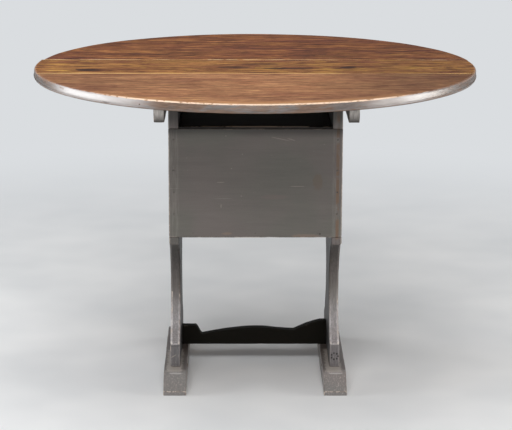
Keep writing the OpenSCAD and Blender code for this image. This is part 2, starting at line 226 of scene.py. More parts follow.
class Graph(Nodes):
    """A material's node tree and its colour so far, with a short method for each kind of node."""

    colour: Value

    def __init__(self, name: str) -> None:
        """Starts a material with a Principled shader and Object coordinates.

        Args:
            name: The material's name.
        """
        self.material = bpy.data.materials.new(name)
        super().__init__(self.material)
        self.shader = self.add("ShaderNodeBsdfPrincipled")
        self.surface = Value(self, self.shader.outputs["BSDF"])
        self.output = self.add("ShaderNodeOutputMaterial", {"Surface": self.surface})
        self.place = self.result("ShaderNodeTexCoord", "Object")

    @cached_property
    def axes(self) -> tuple[Value, ...]:
        """The place across the table, the place front to back and the height of each point."""
        node = self.add("ShaderNodeSeparateXYZ", {0: self.place})
        return tuple(Value(self, output) for output in node.outputs)

    @cached_property
    def off_axis(self) -> Value:
        """The distance of each point from the table's upright axis."""
        x, y, _ = self.axes
        return self.math("SQRT", x ** 2.0 + y ** 2.0)

    def attribute(self, name: str) -> Value:
        """Returns a vertex attribute of the mesh as a value."""
        return self.result("ShaderNodeAttribute", "Fac", attribute_name=name)

    def mapped(self, scales: Sequence[float], offset: float = 0.0, place: Value | None = None) -> Value:
        """Returns coordinates, the piece's own by default, in waves per metre along each axis and shifted."""
        shift = (offset, offset * 0.7, offset * 1.3)
        inputs = {"Vector": place or self.place, "Scale": tuple(scales), "Location": shift}
        return self.result("ShaderNodeMapping", 0, inputs)

    def noise(
        self, scales: Sequence[float], detail: float = 3.0, rough: float = 0.55, twist: float = 0.0,
        offset: float = 0.0, place: Value | None = None
    ) -> Value:
        """Returns fractal noise round a half, with octaves of detail, at coordinates as in mapped."""
        inputs = {
            "Vector": self.mapped(scales, offset, place), "Scale": 1.0, "Detail": detail, "Roughness": rough,
            "Distortion": twist}
        return self.result("ShaderNodeTexNoise", "Fac", inputs)

    def cells(self, scales: Sequence[float], offset: float = 0.0) -> Value:
        """Returns the distance to the nearest of many scattered points."""
        inputs = {"Vector": self.mapped(scales, offset), "Scale": 1.0}
        return self.result("ShaderNodeTexVoronoi", "Distance", inputs)

    def mix(self, share: object, first: object, second: object) -> Value:
        """Returns the first colour where the share is 0 and the second where it is 1."""
        return self.result("ShaderNodeMix", 2, {0: share, 6: first, 7: second}, data_type="RGBA")

    def blend(self, share: Value, first: object, second: object) -> Value:
        """Returns the first value where the share is 0 and the second where it is 1."""
        return self.result("ShaderNodeMix", 0, {0: share, 2: first, 3: second}, data_type="FLOAT")

    def ramp(self, value: Value, stops: Sequence[tuple[float, Colour]]) -> Value:
        """Returns the colour that a value picks from a row of stops.

        Args:
            value: The value.
            stops: Values and the colours that they pick, at least two.

        Returns:
            The colour.
        """
        node = self.add("ShaderNodeValToRGB", {0: value})
        row = node.color_ramp.elements
        while len(row) < len(stops):
            row.new(0.5)
        for stop, (at, colour) in zip(row, stops):
            stop.position = at
            stop.color = colour
        return Value(self, node.outputs["Color"])

    def shaded(self, colour: Value, value: Value, low: float, high: float) -> Value:
        """Returns a colour times low where the value is 0 and times high where it is 1."""
        inputs = {"Color": colour, "Value": value.span(low, high)}
        return self.result("ShaderNodeHueSaturation", "Color", inputs)

    def shade(self, value: Value, low: float, high: float) -> None:
        """Makes the colour so far darker or lighter, as in shaded."""
        self.colour = self.shaded(self.colour, value, low, high)

    def lay(self, share: object, colour: object) -> None:
        """Lays another colour over the one so far, where the share is 1."""
        self.colour = self.mix(share, self.colour, colour)

    def bump(self, height: Value, depth: float, strength: float, over: Value | None = None) -> Value:
        """Returns a normal roughened by a height of the given depth, in metres."""
        inputs = {"Distance": depth, "Strength": strength, "Height": height}
        return self.result("ShaderNodeBump", "Normal", inputs | ({"Normal": over} if over else {}))

    def dress(self, rough: object, normal: Value, specular: float) -> Material:
        """Feeds the shader with the colour so far and the rest.

        Args:
            rough: Roughness.
            normal: Normal.
            specular: Specular level.

        Returns:
            The finished material.
        """
        self.feed(self.shader, {
            "Base Color": self.colour, "Roughness": rough, "Normal": normal, "Specular IOR Level": specular})
        return self.material


@dataclass(frozen=True)
class Knot:
    """A knot in a board of the top, which the grain flows round.

    Attributes:
        x: Place across the table.
        y: Place front to back.
        length: Reach along the grain.
        width: Reach across the grain.
        dark: How dark the heart is, from 0 to 1.
    """

    x: float
    y: float
    length: float
    width: float
    dark: float


@dataclass(frozen=True)
class TopPine:
    """Scrubbed and stained pine of one board of the top, with a band of grey paint on the rim.

    Attributes:
        name: The material's name.
        shadow: Colour of the darkest figure.
        body: Colour of most of the board.
        glow: Colour of the lighter figure.
        gold: Colour of the lightest streaks.
        radius: Radius of the round top.
        upper: Height of the top's face.
        lower: Height of the top's underside.
        knots: The board's knots.
        seam_tone: Colour of the worn arrises along the seams.
        seam_wear: How much of the seams' arrises is worn, from 0 to 1.
        right_shade: How bright the board still is at its right end.
        left_shade: How bright it is at its left end.
        worn_left: Added wear of the seams' arrises on the left.
        worn_until: Place across the table where that added wear ends.
        veins: Strength of the broad dark and golden veins.
        contrast: Strength of the fine streaks.
        offset: Shift of every pattern.
        plum: Colour of the redder stain.
        heart: Colour of the knots' hearts.
        paint: Colour of the rim's warm paint.
        paint_cool: Colour of the rim's cool paint.
        rim_sheen: Colour of the painted sheen on the rim.
        rub: Colour of the rim where the paint is gone.
        cream: Colour of the bare arris at the front.
        under: Colour of the underside.
        under_dark: Colour of its darker patches.
        gloss: Specular level.
    """

    name: str
    shadow: Colour
    body: Colour
    glow: Colour
    gold: Colour
    radius: float
    upper: float
    lower: float
    knots: tuple[Knot, ...] = ()
    seam_tone: Colour = tone(236, 196, 132)
    seam_wear: float = 0.75
    right_shade: float = 0.86
    left_shade: float = 1.0
    worn_left: float = 0.0
    worn_until: float = 0.0
    veins: float = 0.7
    contrast: float = 1.0
    offset: float = 0.0
    plum: Colour = tone(112, 63, 50)
    heart: Colour = tone(48, 27, 21)
    paint: Colour = tone(116, 94, 80)
    paint_cool: Colour = tone(114, 106, 102)
    rim_sheen: Colour = tone(196, 190, 188)
    rub: Colour = tone(134, 94, 68)
    cream: Colour = tone(250, 222, 196)
    under: Colour = tone(112, 86, 64)
    under_dark: Colour = tone(84, 68, 54)
    gloss: float = 0.08

    def make(self) -> Material:
        """Returns the material."""
        graph = Graph(self.name)
        x, _, _ = graph.axes
        flow, hearts, halos = self.flow(graph)
        streak = graph.noise((17.0, 96.0, 96.0), 4.0, 0.7, 0.3, self.offset + 3.0, flow)
        fine = graph.noise((34.0, 1300.0, 1300.0), 2.0, 0.5, 0.0, self.offset, flow)
        pores = graph.noise((60.0, 700.0, 700.0), 1.0, 0.4, 0.0, self.offset + 5.0, flow)
        pitted = pores.step(0.70, 0.78)
        self.figured(graph, flow, streak, fine)
        stain = graph.noise((3.0, 9.0, 9.0), 3.0, 0.6, 0.8, self.offset + 8.0)
        graph.shade(stain.step(0.36, 0.6), 0.86, 1.05)
        # Darker towards the right end, partly stain and partly painted shade, and towards the left end,
        # painted shade.
        graph.shade(x.step(0.04, 0.40), 1.0, self.right_shade)
        graph.shade(x.step(-0.12, -0.38), 1.0, self.left_shade)
        graph.lay(pitted, self.shadow)
        graph.lay(halos, self.shadow)
        graph.lay(hearts, self.heart)
        graph.lay(self.bare_seams(graph), self.seam_tone)
        painted = self.edge(graph)
        normal = graph.bump(streak * 0.7 + fine * 0.3, 0.5 * MM, 0.5)
        normal = graph.bump(pitted, -0.4 * MM, 0.5, normal)
        rough = graph.blend(painted, streak.span(0.78, 0.62), 0.27)
        return graph.dress(rough, normal, self.gloss)

    def flow(self, graph: Graph) -> tuple[Value, Value | float, Value | float]:
        """Bends the grain in slow waves and round the knots.

        Args:
            graph: The nodes.

        Returns:
            Coordinates for the grain's patterns, and how much each place lies in a knot's dark heart and
            in the darker wood round one.
        """
        x, y, z = graph.axes
        waves = graph.noise((2.1, 7.0, 7.0), 2.0, 0.5, 0.0, self.offset + 1.0)
        ragged = graph.noise((40.0, 90.0, 90.0), 2.0, 0.5, 0.0, self.offset)
        bent = y + waves.span(-16.0 * MM, 16.0 * MM)
        hearts: Value | float = 0.0
        halos: Value | float = 0.0
        for knot in self.knots:
            off_y = y - knot.y
            squared = ((x - knot.x) / knot.length) ** 2.0 + (off_y / knot.width) ** 2.0
            pull = graph.math("EXPONENT", squared * -0.16)
            bent = bent - off_y * (pull * 0.85)
            edge = squared + ragged.span(-0.6, 0.6)
            hearts = graph.most(hearts, edge.step(1.25, 0.8) * knot.dark)
            halos = graph.most(halos, edge.step(5.0, 0.8) * (knot.dark * 0.45))
        flow = graph.result("ShaderNodeCombineXYZ", 0, {0: x, 1: bent, 2: z})
        return flow, hearts, halos

    def figured(self, graph: Graph, flow: Value, streak: Value, fine: Value) -> None:
        """Draws the board's figure: broad colour, redder stain, streaks and veins.

        Args:
            graph: The nodes.
            flow: Coordinates that follow the grain.
            streak: The middling streaks.
            fine: The finest streaks.
        """
        figure = graph.noise((11.0, 74.0, 74.0), 5.0, 0.72, 0.7, self.offset, flow)
        flush = graph.noise((2.6, 13.0, 13.0), 3.0, 0.55, 0.6, self.offset + 12.0)
        fleck = graph.noise((52.0, 105.0, 105.0), 3.0, 0.7, 0.2, self.offset + 4.0)
        vein = graph.noise((8.0, 46.0, 46.0), 4.0, 0.65, 0.6, self.offset + 9.0, flow)
        tones = ((0.38, self.shadow), (0.47, self.body), (0.56, self.glow), (0.66, self.gold))
        graph.colour = graph.ramp(figure, tones)
        graph.lay(flush.step(0.48, 0.62).span(0.0, 0.36), self.plum)
        graph.shade(streak.step(0.38, 0.6), 1.0 - 0.26 * self.contrast, 1.0 + 0.1 * self.contrast)
        graph.shade(fleck.step(0.36, 0.64), 0.86, 1.14)
        graph.lay(vein.step(0.42, 0.35).span(0.0, 0.7 * self.veins), self.shadow)
        graph.lay(vein.step(0.58, 0.66).span(0.0, 0.7 * self.veins), self.gold)
        graph.shade(fine, 0.86, 1.14)

    def bare_seams(self, graph: Graph) -> Value:
        """Finds the worn arrises along the seams, in chips.

        Args:
            graph: The nodes.

        Returns:
            Where bare wood shows.
        """
        x, _, _ = graph.axes
        chips = graph.noise((26.0, 90.0, 90.0), 3.0, 0.6, 0.0, self.offset + 2.0)
        left = x.step(self.worn_until + 0.08, self.worn_until).span(0.0, self.worn_left)
        least = 1.62 - self.seam_wear * 0.4
        return (graph.attribute("wear") + left + chips).step(least, least + 0.12)

    def edge(self, graph: Graph) -> Value:
        """Lays the painted band and its bare arris round the rim, and dulls the underside.

        Args:
            graph: The nodes.

        Returns:
            How much of each place is painted.
        """
        _, y, z = graph.axes
        broken = graph.noise((60.0, 60.0, 160.0), 4.0, 0.65, 0.3, self.offset + 4.0)
        patch = graph.noise((14.0, 14.0, 60.0), 4.0, 0.6, 0.4, self.offset + 6.0)
        ragged = (self.upper - z) + broken.span(-1.6 * MM, 1.6 * MM)
        front = y.step(-0.34, -0.44)
        start = ragged - front * (1.6 * MM)
        band = self.near_rim(graph, 9.0 * MM, 6.0 * MM) * start.step(1.0 * MM, 1.8 * MM)
        by_rim = self.near_rim(graph, 45.0 * MM, 8.0 * MM) * front
        graph.lay(by_rim * patch.span(0.0, 0.8), self.gold)
        bare = self.near_rim(graph, 3.6 * MM, 2.4 * MM) * front * broken.step(0.36, 0.50)
        graph.lay(bare * 0.9, self.cream)
        graph.lay(band, self.rim_paint(graph, broken, patch, ragged))
        beneath = z.step(self.lower + 2.0 * MM, self.lower + 0.9 * MM)
        saw = graph.noise((160.0, 6.0, 6.0), 3.0, 0.5)
        graph.lay(beneath, graph.shaded(graph.mix(patch, self.under, self.under_dark), saw, 0.75, 1.2))
        return graph.math("SUBTRACT", band, beneath, clamp=True)

    def near_rim(self, graph: Graph, start: float, whole: float) -> Value:
        """Returns a step that starts at one distance from the rim and is whole at a smaller one."""
        return graph.off_axis.step(self.radius - start, self.radius - whole)

    def rim_paint(self, graph: Graph, broken: Value, patch: Value, ragged: Value) -> Value:
        """Mixes the rim's paint, with a painted sheen at the front left and right, and rubbed low down and at
        the tips.

        Args:
            graph: The nodes.
            broken: Fine breaks.
            patch: Broad patches.
            ragged: Depth under the top's face, unevenly.

        Returns:
            The colour.
        """
        x, y, _ = graph.axes
        sideways = abs(x)
        mottle = graph.noise((42.0, 42.0, 300.0), 4.0, 0.6, 0.4)
        paint = graph.mix(patch.step(0.42, 0.6), self.paint, self.paint_cool)
        paint = graph.shaded(paint, mottle.step(0.34, 0.66), 0.84, 1.16)
        # Painted sheen at the front left and right, weaker on the lower part of the rim and at the right end.
        pale = sideways.step(0.19, 0.28) * sideways.step(0.46, 0.40)
        pale *= x.step(0.40, 0.33).span(0.1, 1.0)
        pale *= y.step(-0.08, -0.2)
        pale *= ragged.step(21.0 * MM, 9.0 * MM).span(0.5, 1.0)
        pale *= patch.step(0.36, 0.6).span(0.8, 1.0)
        paint = graph.mix(pale, paint, self.rim_sheen)
        low = ragged.step(17.0 * MM, 20.0 * MM) * 0.6
        tips = sideways.step(0.40, 0.48) * ragged.step(7.0 * MM, 3.0 * MM) * 0.9
        rubbed = graph.most(graph.most(patch.step(0.60, 0.70) * 0.6, low), tips)
        return graph.mix(rubbed * broken.step(0.42, 0.58), paint, self.rub)


@dataclass(frozen=True)
class Mark:
    """A small mark on the front of a painted piece, such as a scratch, a rub or a hole.

    Attributes:
        x: Place across the table.
        z: Height.
        wide: Half its width.
        high: Half its height.
        colour: Its colour.
        strength: How much it hides the paint, from 0 to 1.
        lean: How far it falls for each unit to the right.
    """

    x: float
    z: float
    wide: float
    high: float
    colour: Colour
    strength: float = 1.0
    lean: float = 0.0


@dataclass(frozen=True)
class GreyPaint:
    """Warm grey paint on pine, brushed along a board and worn through at its arrises.

    Attributes:
        name: The material's name.
        grain: The axis of the grain and the brush strokes.
        warm: Colour of the pinker patches.
        cool: Colour of the greener patches.
        wear: How far the wear creeps in from the arrises; about 1.
        bare: Colour of the wood that shows where the paint is gone.
        bare_dark: Colour of its darker patches.
        inside: Half the width inside which the faces are darkened with painted shade, or 0 for none.
        rub_at: Place across the table of a rubbed upright strip, or None.
        rub_over: Height above which that strip shows.
        end_pale: How much paler the end grain is, from 0 to 1.
        end_low: Height at which the pale end grain starts.
        scratches: Share of the light scratches along the grain.
        offset: Shift of every pattern.
        halo: Colour of the thin paint round the bare wood.
        rub: Colour of the rubbed strip.
        pale_end: Colour of the palest end grain.
        inside_shade: How bright the faces under that painted shade still are.
        gloss: Specular level.
        dull: Added roughness.
        wear_under: Height above which the arrises are sound, or 0 for none.
        scuffs: Strength of the pale scuffs low down, from 0 to 1.
        scuff_line: Height above which the scuffs fade.
        painted_low_light: How much darker painted shade makes the paint at the shade line, and how much paler
            painted light makes it a little lower.
        lit_low_tone: Colour of that painted light.
        arris_highlight: Colour of the painted highlights on the arrises there.
        shade_line: Height of the darkest painted shade, which ends there.
        lip: Height below which the paint is dull and dark, or 0.
        dirt: Distance front to back within which brown dirt and painted shade lie, and height above which
            they do, or None.
        brown: Colour of that dirt and painted shade.
        board_top_shade: Height of the darkest line of painted shade and how far that shade reaches below it,
            or None.
        band: Distances from the table's middle, sideways, where the upright strokes start and where the
            outer arris is, and front to back, where that arris is; or None.
        pale_arris: Colour of that arris.
        shade_over: Heights where the shade under the top starts and is deepest, or None.
        marks_in: Places front to back where the marks end and where they are whole.
        marks: Single marks on the front.
    """

    name: str
    grain: Grain
    warm: Colour = tone(106, 99, 95)
    cool: Colour = tone(100, 97, 91)
    wear: float = 1.0
    bare: Colour = tone(198, 188, 180)
    bare_dark: Colour = tone(152, 138, 127)
    inside: float = 0.0
    rub_at: float | None = None
    rub_over: float = 345.0 * MM
    end_pale: float = 0.0
    end_low: float = 0.0
    scratches: float = 1.0
    offset: float = 0.0
    halo: Colour = tone(96, 82, 73)
    rub: Colour = tone(114, 92, 76)
    pale_end: Colour = tone(226, 220, 214)
    inside_shade: float = 0.22
    gloss: float = 0.35
    dull: float = 0.0
    wear_under: float = 0.0
    scuffs: float = 0.0
    scuff_line: float = 120.0 * MM
    painted_low_light: float = 0.0
    lit_low_tone: Colour = tone(144, 140, 144)
    arris_highlight: Colour = tone(206, 201, 202)
    shade_line: float = 345.0 * MM
    lip: float = 0.0
    dirt: tuple[float, float] | None = None
    brown: Colour = tone(88, 72, 63)
    board_top_shade: tuple[float, float] | None = None
    band: tuple[float, float, float] | None = None
    pale_arris: Colour = tone(170, 162, 155)
    shade_over: tuple[float, float] | None = None
    marks_in: tuple[float, float] = (0.0, -20.0 * MM)
    marks: tuple[Mark, ...] = ()

    def make(self) -> Material:
        """Returns the material."""
        graph = Graph(self.name)
        zone = graph.noise(even(6.0), 2.0, 0.5, 0.4, self.offset)
        brush = graph.noise(self.grain.stretch(10.0, 330.0), 4.0, 0.6, 0.1, self.offset)
        broad = graph.noise(self.grain.stretch(7.0, 48.0), 4.0, 0.6, 0.4, self.offset + 3.0)
        speck = graph.noise(even(520.0), 2.0, 0.5)
        graph.colour = graph.mix(zone.step(0.38, 0.62), self.cool, self.warm)
        graph.shade(brush, 0.91, 1.09)
        graph.shade(broad, 0.84, 1.16)
        graph.shade(speck.step(0.3, 0.42), 0.84, 1.0)
        self.scratched(graph)
        self.paint_low_light_and_shade(graph, broad)
        self.banded(graph)
        worn, thin = self.worn(graph)
        graph.lay(thin * 0.5, self.halo)
        graph.lay(worn, graph.shaded(graph.mix(broad, self.bare, self.bare_dark), brush, 0.85, 1.12))
        self.rubbed(graph)
        self.shade_and_soil(graph, zone, broad)
        self.marked(graph)
        normal = graph.bump(brush * 0.5 - worn * 0.6, 0.25 * MM, 0.6)
        normal = graph.bump(speck, 0.15 * MM, 0.5, normal)
        rough = graph.blend(worn, broad.span(0.40 + self.dull, 0.58 + self.dull), 0.75)
        return graph.dress(rough, normal, self.gloss)

    def scratched(self, graph: Graph) -> None:
        """Adds the long light scratches, and the scuffs low down.

        Args:
            graph: The nodes.
        """
        _, _, height = graph.axes
        scratch = graph.noise(self.grain.stretch(7.0, 620.0), 1.0, 0.4, 0.0, self.offset + 6.0)
        scratch = scratch.step(0.80 - 0.02 * self.scratches, 0.84)
        graph.lay(scratch * (0.4 * self.scratches), self.bare)
        if self.scuffs:
            scuff = graph.noise(self.grain.stretch(90.0, 330.0), 3.0, 0.7, 0.0, self.offset + 7.0)
            scuff = scuff.step(0.52, 0.68) * height.step(self.scuff_line + 60.0 * MM, self.scuff_line)
            graph.lay(scuff * self.scuffs, self.bare)

    def paint_low_light_and_shade(self, graph: Graph, broad: Value) -> None:
        """Paints shade at the shade line and light below it, the arrises lightest of all as painted
        highlights.

        Args:
            graph: The nodes.
            broad: The broad brush strokes.
        """
        if not self.painted_low_light:
            return
        _, _, height = graph.axes
        over = height.step(self.shade_line - 1.0 * MM, self.shade_line + 2.0 * MM)
        rise = graph.blend(over, height.step(self.shade_line, self.shade_line - 250.0 * MM), 0.5)
        graph.shade(rise, 1.0 - self.painted_low_light, 1.0 + self.painted_low_light)
        low = height.step(self.shade_line - 120.0 * MM, self.shade_line - 210.0 * MM)
        graph.lay(low * 0.5, self.lit_low_tone)
        arris = graph.attribute("wear").step(0.6, 0.95) * low * broad.span(0.2, 0.9)
        graph.lay(arris, self.arris_highlight)

    def banded(self, graph: Graph) -> None:
        """Adds the upright strokes and the pale arris at the sides, and dulls what is below the lip.

        Args:
            graph: The nodes.
        """
        across, depth, height = graph.axes
        if self.band is not None:
            start, outer, front = self.band
            sideways = abs(across)
            strokes = graph.noise((260.0, 260.0, 20.0), 3.0, 0.6, 0.2, self.offset + 9.0)
            upright = sideways.step(start, start + 4.0 * MM) * strokes.step(0.38, 0.62)
            graph.shade(upright, 1.0, 1.3)
            arris = sideways.step(outer - 3.2 * MM, outer - 1.8 * MM)
            arris *= abs(depth).step(front - 3.4 * MM, front - 2.0 * MM)
            graph.lay(arris * strokes.span(0.35, 1.1), self.pale_arris)
        if self.lip:
            graph.shade(height.step(self.lip, self.lip - 3.0 * MM), 1.0, 0.55)

    def worn(self, graph: Graph) -> tuple[Value, Value]:
        """Finds where the paint is worn.

        Args:
            graph: The nodes.

        Returns:
            Where bare wood shows, and the wider place where the paint is thin.
        """
        _, _, height = graph.axes
        edge = graph.attribute("wear") * self.wear
        if self.wear_under:
            edge *= height.step(self.wear_under + 3.0 * MM, self.wear_under).span(0.84, 1.0)
        ragged = graph.noise(self.grain.stretch(38.0, 130.0), 4.0, 0.65, 0.2, self.offset + 2.0)
        total = edge + ragged
        chips = graph.cells(even(130.0), self.offset).step(0.18, 0.10) * ragged.step(0.62, 0.70)
        return graph.most(total.step(1.44, 1.54), chips * 0.6), total.step(1.2, 1.46)

    def rubbed(self, graph: Graph) -> None:
        """Rubs a narrow upright strip down to brown wood, and bares pale end grain in upright strokes.

        Args:
            graph: The nodes.
        """
        across, _, height = graph.axes
        if self.rub_at is not None:
            wavy = graph.noise((20.0, 20.0, 26.0), 3.0, 0.6, 0.0, self.offset)
            away = abs(across - self.rub_at) + wavy.span(-1.6 * MM, 1.6 * MM)
            strip = away.step(4.4 * MM, 2.4 * MM) * wavy.step(0.36, 0.50)
            strip *= height.step(self.rub_over, self.rub_over + 12.0 * MM)
            graph.lay(strip, self.rub)
        if self.end_pale:
            stroke = graph.noise((520.0, 520.0, 60.0), 2.0, 0.6, 0.0, self.offset)
            end = graph.attribute("end").step(0.55, 0.95)
            end *= height.step(self.end_low, self.end_low + 24.0 * MM)
            paler = stroke.span(self.end_pale * 0.1, self.end_pale * 1.3)
            graph.lay(graph.math("MULTIPLY", end, paler, clamp=True), self.pale_end)

    def shade_and_soil(self, graph: Graph, zone: Value, broad: Value) -> None:
        """Paints shade on the inner faces, under the top and below the front board's top edge, and lays dirt
        and painted shade on the feet.

        Args:
            graph: The nodes.
            zone: The broad patches.
            broad: The broad brush strokes.
        """
        across, depth, height = graph.axes
        if self.inside:
            # Painted shade on the faces inside the box.
            shaded_inside = abs(across).step(self.inside + 1.5 * MM, self.inside + 0.2 * MM)
            graph.shade(shaded_inside, 1.0, self.inside_shade)
        if self.dirt is not None:
            # Dirt and painted shade on the feet's tops behind the toes.
            reach, least = self.dirt
            dirty_and_shaded = abs(depth).step(reach + 24.0 * MM, reach) * height.step(least - 7.0 * MM, least)
            graph.lay(dirty_and_shaded * broad.span(0.55, 1.0), self.brown)
        if self.shade_over is not None:
            graph.shade(height.step(*self.shade_over), 1.0, 0.46)
        # Painted shade below the board's top edge, under the top.
        if self.board_top_shade is not None:
            line, reach = self.board_top_shade
            uneven = height + zone.span(-9.0 * MM, 9.0 * MM)
            graph.shade(uneven.step(line - reach, line), 1.0, 0.34)

    def marked(self, graph: Graph) -> None:
        """Lays the single marks on the front faces.

        Args:
            graph: The nodes.
        """
        if not self.marks:
            return
        across, depth, height = graph.axes
        front = depth.step(*self.marks_in)
        ragged = graph.noise(even(190.0), 2.0).span(-0.7, 0.7)
        for mark in self.marks:
            off_x = across - mark.x
            off_z = (height - mark.z) + off_x * mark.lean
            edge = (off_x / mark.wide) ** 2.0 + (off_z / mark.high) ** 2.0 + ragged
            graph.lay(edge.step(1.1, 0.5) * front * mark.strength, mark.colour)


@dataclass(frozen=True)
class BareWood:
    """Unpainted wood, such as the inside of the box, the pins and the pegs.

    Attributes:
        name: The material's name.
        grain: The axis of the grain.
        pale: Colour of the early wood.
        dark: Colour of the late wood.
        fine: Waves per metre across the grain.
        gloss: Specular level.
        rough: Roughness.
    """

    name: str
    grain: Grain
    pale: Colour
    dark: Colour
    fine: float = 240.0
    gloss: float = 0.3
    rough: float = 0.6

    def make(self) -> Material:
        """Returns the material."""
        graph = Graph(self.name)
        rings = graph.noise(self.grain.stretch(6.0, self.fine * 0.4), 4.0, 0.6, 0.4)
        fibre = graph.noise(self.grain.stretch(30.0, self.fine * 4.0), 2.0, 0.5)
        dirt = graph.noise(even(11.0), 4.0, 0.6, 0.5)
        graph.colour = graph.mix(rings.step(0.38, 0.62), self.dark, self.pale)
        graph.shade(fibre, 0.8, 1.15)
        graph.shade(dirt.step(0.34, 0.6), 0.7, 1.05)
        graph.shade(graph.attribute("wear"), 1.0, 0.78)
        normal = graph.bump(fibre + rings, 0.3 * MM, 0.6)
        return graph.dress(fibre.span(self.rough - 0.08, self.rough + 0.08), normal, self.gloss)


@dataclass(frozen=True)
class ForgedIron:
    """Dark forged iron with thin rust and old paint in its hollows.

    Attributes:
        name: The material's name.
        painted: How much paint is left, from 0 to 1.
        black: Colour of the sound iron.
        rust: Colour of the rust.
        paint: Colour of the paint that is left.
        metallic: How much it looks like a metal.
        gloss: Specular level.
    """

    name: str
    painted: float = 0.0
    black: Colour = tone(52, 46, 42)
    rust: Colour = tone(98, 62, 42)
    paint: Colour = tone(96, 90, 86)
    metallic: float = 0.35
    gloss: float = 0.5

    def make(self) -> Material:
        """Returns the material."""
        graph = Graph(self.name)
        bloom = graph.noise(even(220.0), 4.0, 0.65, 0.3)
        rusty = bloom.step(0.46, 0.62)
        grit = graph.noise(even(1400.0), 2.0, 0.6)
        graph.colour = graph.mix(rusty, self.black, self.rust)
        graph.shade(grit, 0.7, 1.3)
        if self.painted:
            film = graph.noise(even(300.0), 2.0, 0.5, 0.0, 5.0)
            left = film.step(0.7 - 0.4 * self.painted, 0.8 - 0.4 * self.painted)
            graph.lay(left, self.paint)
        graph.feed(graph.shader, {"Metallic": self.metallic})
        normal = graph.bump(grit + bloom, 0.2 * MM, 0.7)
        return graph.dress(rusty.span(0.42, 0.78), normal, self.gloss)


@dataclass(frozen=True)
class Age:
    """How far a timber has worn from a squared one.

    Attributes:
        arris: Width of the eased arrises.
        fade: Width over which the wear fades from an arris.
        along: Distance between cuts along the grain.
        across: Distance between cuts across the grain.
        swell: Depth of the slow waves in the faces.
        knocks: Depth of the knocks along the arrises.
    """

    arris: float = 1.4 * MM
    fade: float = 5.0 * MM
    along: float = 16.0 * MM
    across: float = 32.0 * MM
    swell: float = 0.35 * MM
    knocks: float = 1.6 * MM


def new_mesh() -> BMesh:
    """Returns an empty bmesh, whose points can carry a wear."""
    mesh = bmesh.new()
    mesh.verts.layers.float.new("wear")
    return mesh


def extent(points: Iterable[Vector]) -> list[tuple[float, float]]:
    """Returns the least and the most of some points along X, Y and Z."""
    return [(min(places), max(places)) for places in zip(*points)]


def middle(points: Iterable[Vector]) -> Vector:
    """Returns the middle of the box round some points."""
    return Vector([(low + high) / 2 for low, high in extent(points)])


def plane_cut(mesh: BMesh, point: Vector, normal: Vector, clear: bool = False) -> None:
    """Cuts a mesh along the plane through a point, and clears what lies on the normal's side if asked."""
    every = mesh.verts[:] + mesh.edges[:] + mesh.faces[:]
    bmesh.ops.bisect_plane(mesh, geom=every, dist=1e-6, plane_co=point, plane_no=normal, clear_outer=clear)


def draw_out(mesh: BMesh, faces: Sequence[BMFace], way: Vector) -> None:
    """Extrudes faces along a way."""
    made = bmesh.ops.extrude_face_region(mesh, geom=faces)["geom"]
    bmesh.ops.translate(mesh, verts=[item for item in made if isinstance(item, BMVert)], vec=way)


def groups(items: Iterable[Item], near: Callable[[Item], Iterable[Item]]) -> list[list[Item]]:
    """Sorts items into groups that hang together.

    Args:
        items: The items.
        near: Gives an item's neighbours, other things too.

    Returns:
        The groups, in the order of their first items.
    """
    left = dict.fromkeys(items)
    found: list[list[Item]] = []
    while left:
        group = [next(iter(left))]
        del left[group[0]]
        for item in group:
            for other in near(item):
                if other in left:
                    del left[other]
                    group.append(other)
        found.append(group)
    return found


